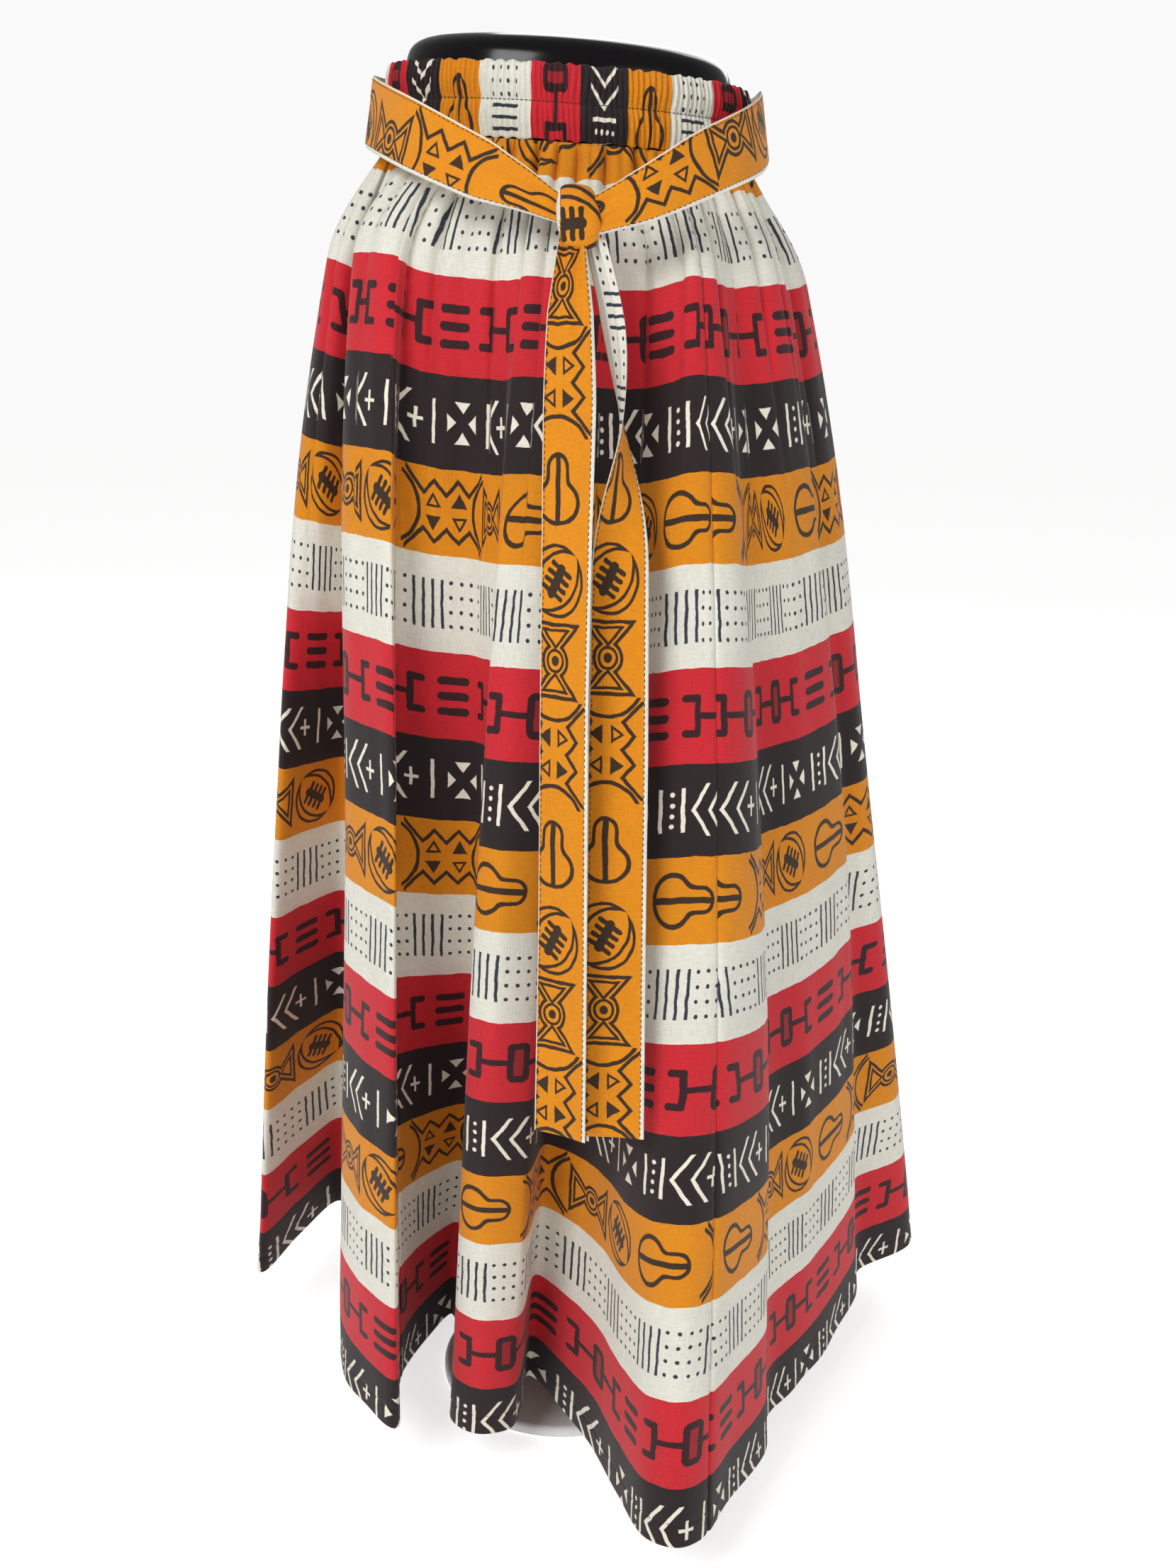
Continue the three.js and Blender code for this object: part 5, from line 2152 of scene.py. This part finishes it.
@dataclass
class Stand:
    """The pole under the form, with a collar at each end, and its round base."""

    pole_radius: float = 12.0
    base_radius: float = 105.0
    base_height: float = 9.0
    form_underside: float = 805.4
    collar_step: float = 0.6
    edge: float = 0.8
    base_curve: float = 4.0

    def turned(self, name: str, profile: list[tuple[float, float]], count: int) -> bpy.types.Object:
        """A turned piece.

        Args:
            name: its name.
            profile: (radius, height) pairs, top first.
            count: how many points go round it.

        Returns:
            The piece.
        """
        angle = np.linspace(0.0, 2 * math.pi, count, endpoint=False)
        circle = np.column_stack([np.cos(angle), np.sin(angle), np.ones(count)])
        return lathe(name, np.array([circle * (r, r, z) for r, z in profile]))

    def build(self, steel: bpy.types.Material, paint: bpy.types.Material) -> list[bpy.types.Object]:
        """Builds and dresses the pole and the base.

        Args:
            steel: the pole's finish.
            paint: the base's finish.

        Returns:
            The two pieces.
        """
        top, bottom = self.form_underside, self.base_height + 0.3
        r, edge, tube = self.pole_radius, self.edge, self.pole_radius - self.collar_step
        upper = [(0.5, top), (r - edge, top), (r, top - edge), (r, top - 30.0), (tube, top - 31.0)]
        lower = [(tube, bottom + 31.0), (r, bottom + 30.0), (r, bottom + edge)]
        lower += [(r - edge, bottom), (0.5, bottom)]
        pole = self.turned("stand_pole_tube", upper + lower, 64)
        r, height, curve = self.base_radius, self.base_height, self.base_curve
        rim = []
        for angle in np.linspace(math.pi / 2, 0.0, 8):
            rim.append((r - curve + curve * math.cos(angle), height - curve + curve * math.sin(angle)))
        top_face = [(0.5, height), (30.0, height), (r - 5.0, height)]
        underside = [(r, 0.6), (r - 0.6, 0.0), (60.0, 0.0), (0.5, 0.0)]
        base = self.turned("stand_base_disc", top_face + rim + underside, 128)
        dress(pole, steel, "stand_pole")
        dress(base, paint, "stand_base")
        return [pole, base]


# ---------------------------------------------------------------- studio
@dataclass(frozen=True)
class Lamp:
    """A square soft light: where it stands and faces in metres, its side, power and share of gloss."""

    name: str
    at: tuple[float, float, float]
    aim: tuple[float, float, float]
    size: float
    watts: float
    gloss: float = 1.0

    def build(self) -> None:
        """Adds the lamp to the scene."""
        data = bpy.data.lights.new(self.name, "AREA")
        data.size = self.size
        data.energy = self.watts
        data.specular_factor = self.gloss
        lamp = bpy.data.objects.new(self.name, data)
        bpy.context.scene.collection.objects.link(lamp)
        lamp.location = self.at
        lamp.rotation_euler = (Vector(self.aim) - Vector(self.at)).to_track_quat("-Z", "Y").to_euler()


LAMPS = (
    Lamp("key", (-1.5, -2.4, 2.6), (0.0, -0.05, 0.6), 1.3, 60.0),
    Lamp("fill", (1.9, -2.2, 1.5), (0.0, -0.05, 0.55), 1.8, 15.0),
    Lamp("rim", (0.6, 2.4, 2.4), (0.0, 0.0, 0.7), 1.8, 30.0, gloss=0.0),
)


@dataclass
class Studio:
    """A pale floor, soft light and the camera."""

    camera_at: tuple[float, float, float] = (0.018, -1.300, 0.923)
    pitch_down: float = 16.5
    roll: float = 0.5
    focal_pixels: float = 2380.0
    image_height: float = 2212.0
    sensor: float = 36.0
    soft_light: float = 0.33
    seen_white: float = 0.95
    floor_glow: float = 0.46
    floor_seen_glow: float = 0.2
    floor_half: float = 9.0
    floor_gap: float = 0.001

    def glow(self, tree: bpy.types.NodeTree, strength: bpy.types.NodeSocket, lit: float, seen: float) -> None:
        """Gives a glow one strength for the light that it casts and another where the camera sees it.

        Args:
            tree: the node tree that it belongs to.
            strength: its strength.
            lit: the strength that lights the scene.
            seen: how much stronger the camera sees it.
        """
        graph = Graph(tree)
        by_camera = Field(graph, graph.node("ShaderNodeLightPath").outputs["Is Camera Ray"])
        graph.put(by_camera * seen + lit, strength)

    def floor(self, finish: bpy.types.Material) -> None:
        """Sets up the floor, just below the stand's underside."""
        half = self.floor_half
        corners = [(-half, -half, 0), (half, -half, 0), (half, half, 0), (-half, half, 0)]
        mesh = bpy.data.meshes.new("floor")
        mesh.from_pydata(corners, [], [(0, 1, 2, 3)])
        floor = make_object("floor", mesh)
        floor.location.z = -self.floor_gap
        mesh.materials.append(finish)
        surface = finish.node_tree.nodes["Principled BSDF"].inputs
        surface["Emission Color"].default_value = (1.0, 1.0, 1.0, 1.0)
        self.glow(finish.node_tree, surface["Emission Strength"], self.floor_glow, self.floor_seen_glow)

    def build(self, finish: bpy.types.Material) -> None:
        """Sets up the floor, the lights and the camera.

        Args:
            finish: the floor's material.
        """
        scene = bpy.context.scene
        scene.view_settings.view_transform = "Standard"
        self.floor(finish)
        world = bpy.data.worlds.new("Soft white")
        scene.world = world
        world.use_nodes = True
        background = world.node_tree.nodes["Background"].inputs
        background["Color"].default_value = (1.0, 1.0, 1.0, 1.0)
        extra = self.seen_white - self.soft_light
        self.glow(world.node_tree, background["Strength"], self.soft_light, extra)
        for lamp in LAMPS:
            lamp.build()
        data = bpy.data.cameras.new("camera")
        data.sensor_width = self.sensor
        data.lens = self.focal_pixels / self.image_height * self.sensor
        data.clip_end = 50.0
        camera = bpy.data.objects.new("camera", data)
        scene.collection.objects.link(camera)
        camera.matrix_world = (
            Matrix.Translation(self.camera_at)
            @ Matrix.Rotation(math.radians(90.0 - self.pitch_down), 4, "X")
            @ Matrix.Rotation(math.radians(self.roll), 4, "Z")
        )
        scene.camera = camera


# ---------------------------------------------------------------- the whole part
def report(*pieces: bpy.types.Object) -> None:
    """Logs each piece's name and how many faces it has."""
    for piece in pieces:
        LOG.info("%s: %d faces", piece.name, len(piece.data.polygons))


def main() -> None:
    """Builds every piece in order."""
    logging.basicConfig(level=logging.INFO, format="%(name)s %(message)s")
    finishes = Finishes()
    sizes = SkirtSizes()
    form = SkirtForm(sizes)
    side_left, front_left, front_right, side_right = SEAMS
    left = SkirtPanel("front_left_panel", side_left, front_left, (476.0, 500.0), (0.43, 1.0), form)
    centre = SkirtPanel("front_centre_panel", front_left, front_right, (983.0, 1018.0), (0.5, 1.0), form)
    right = SkirtPanel("front_right_panel", front_right, side_right, (1320.0, 1445.0), (0.4, 1.0), form)
    back = SkirtPanel("back_panel", side_right, side_left, (960.0, 960.0), (0.96, 1.0), form, column_step=6.2)
    left.pocket_ends, right.pocket_ends, back.pocket_ends = (2.2, 0.0), (0.0, 2.2), (-1.4, -1.4)
    panels = (left, centre, right, back)
    report(*(panel.build(finishes.skirt, finishes.thread) for panel in panels))
    report(Waistband(form).build(finishes.waistband, finishes.thread))
    report(*TieBelt(finishes.tie, finishes.thread).build())
    report(
        PocketFacing("pocket_facing_left", side_left, form).build(finishes.skirt),
        PocketFacing("pocket_facing_right", side_right, form).build(finishes.skirt),
    )
    report(DressForm(sizes).build(finishes.form))
    report(*Stand().build(finishes.steel, finishes.paint))
    Studio().build(finishes.floor)


if __name__ == "__main__":
    main()
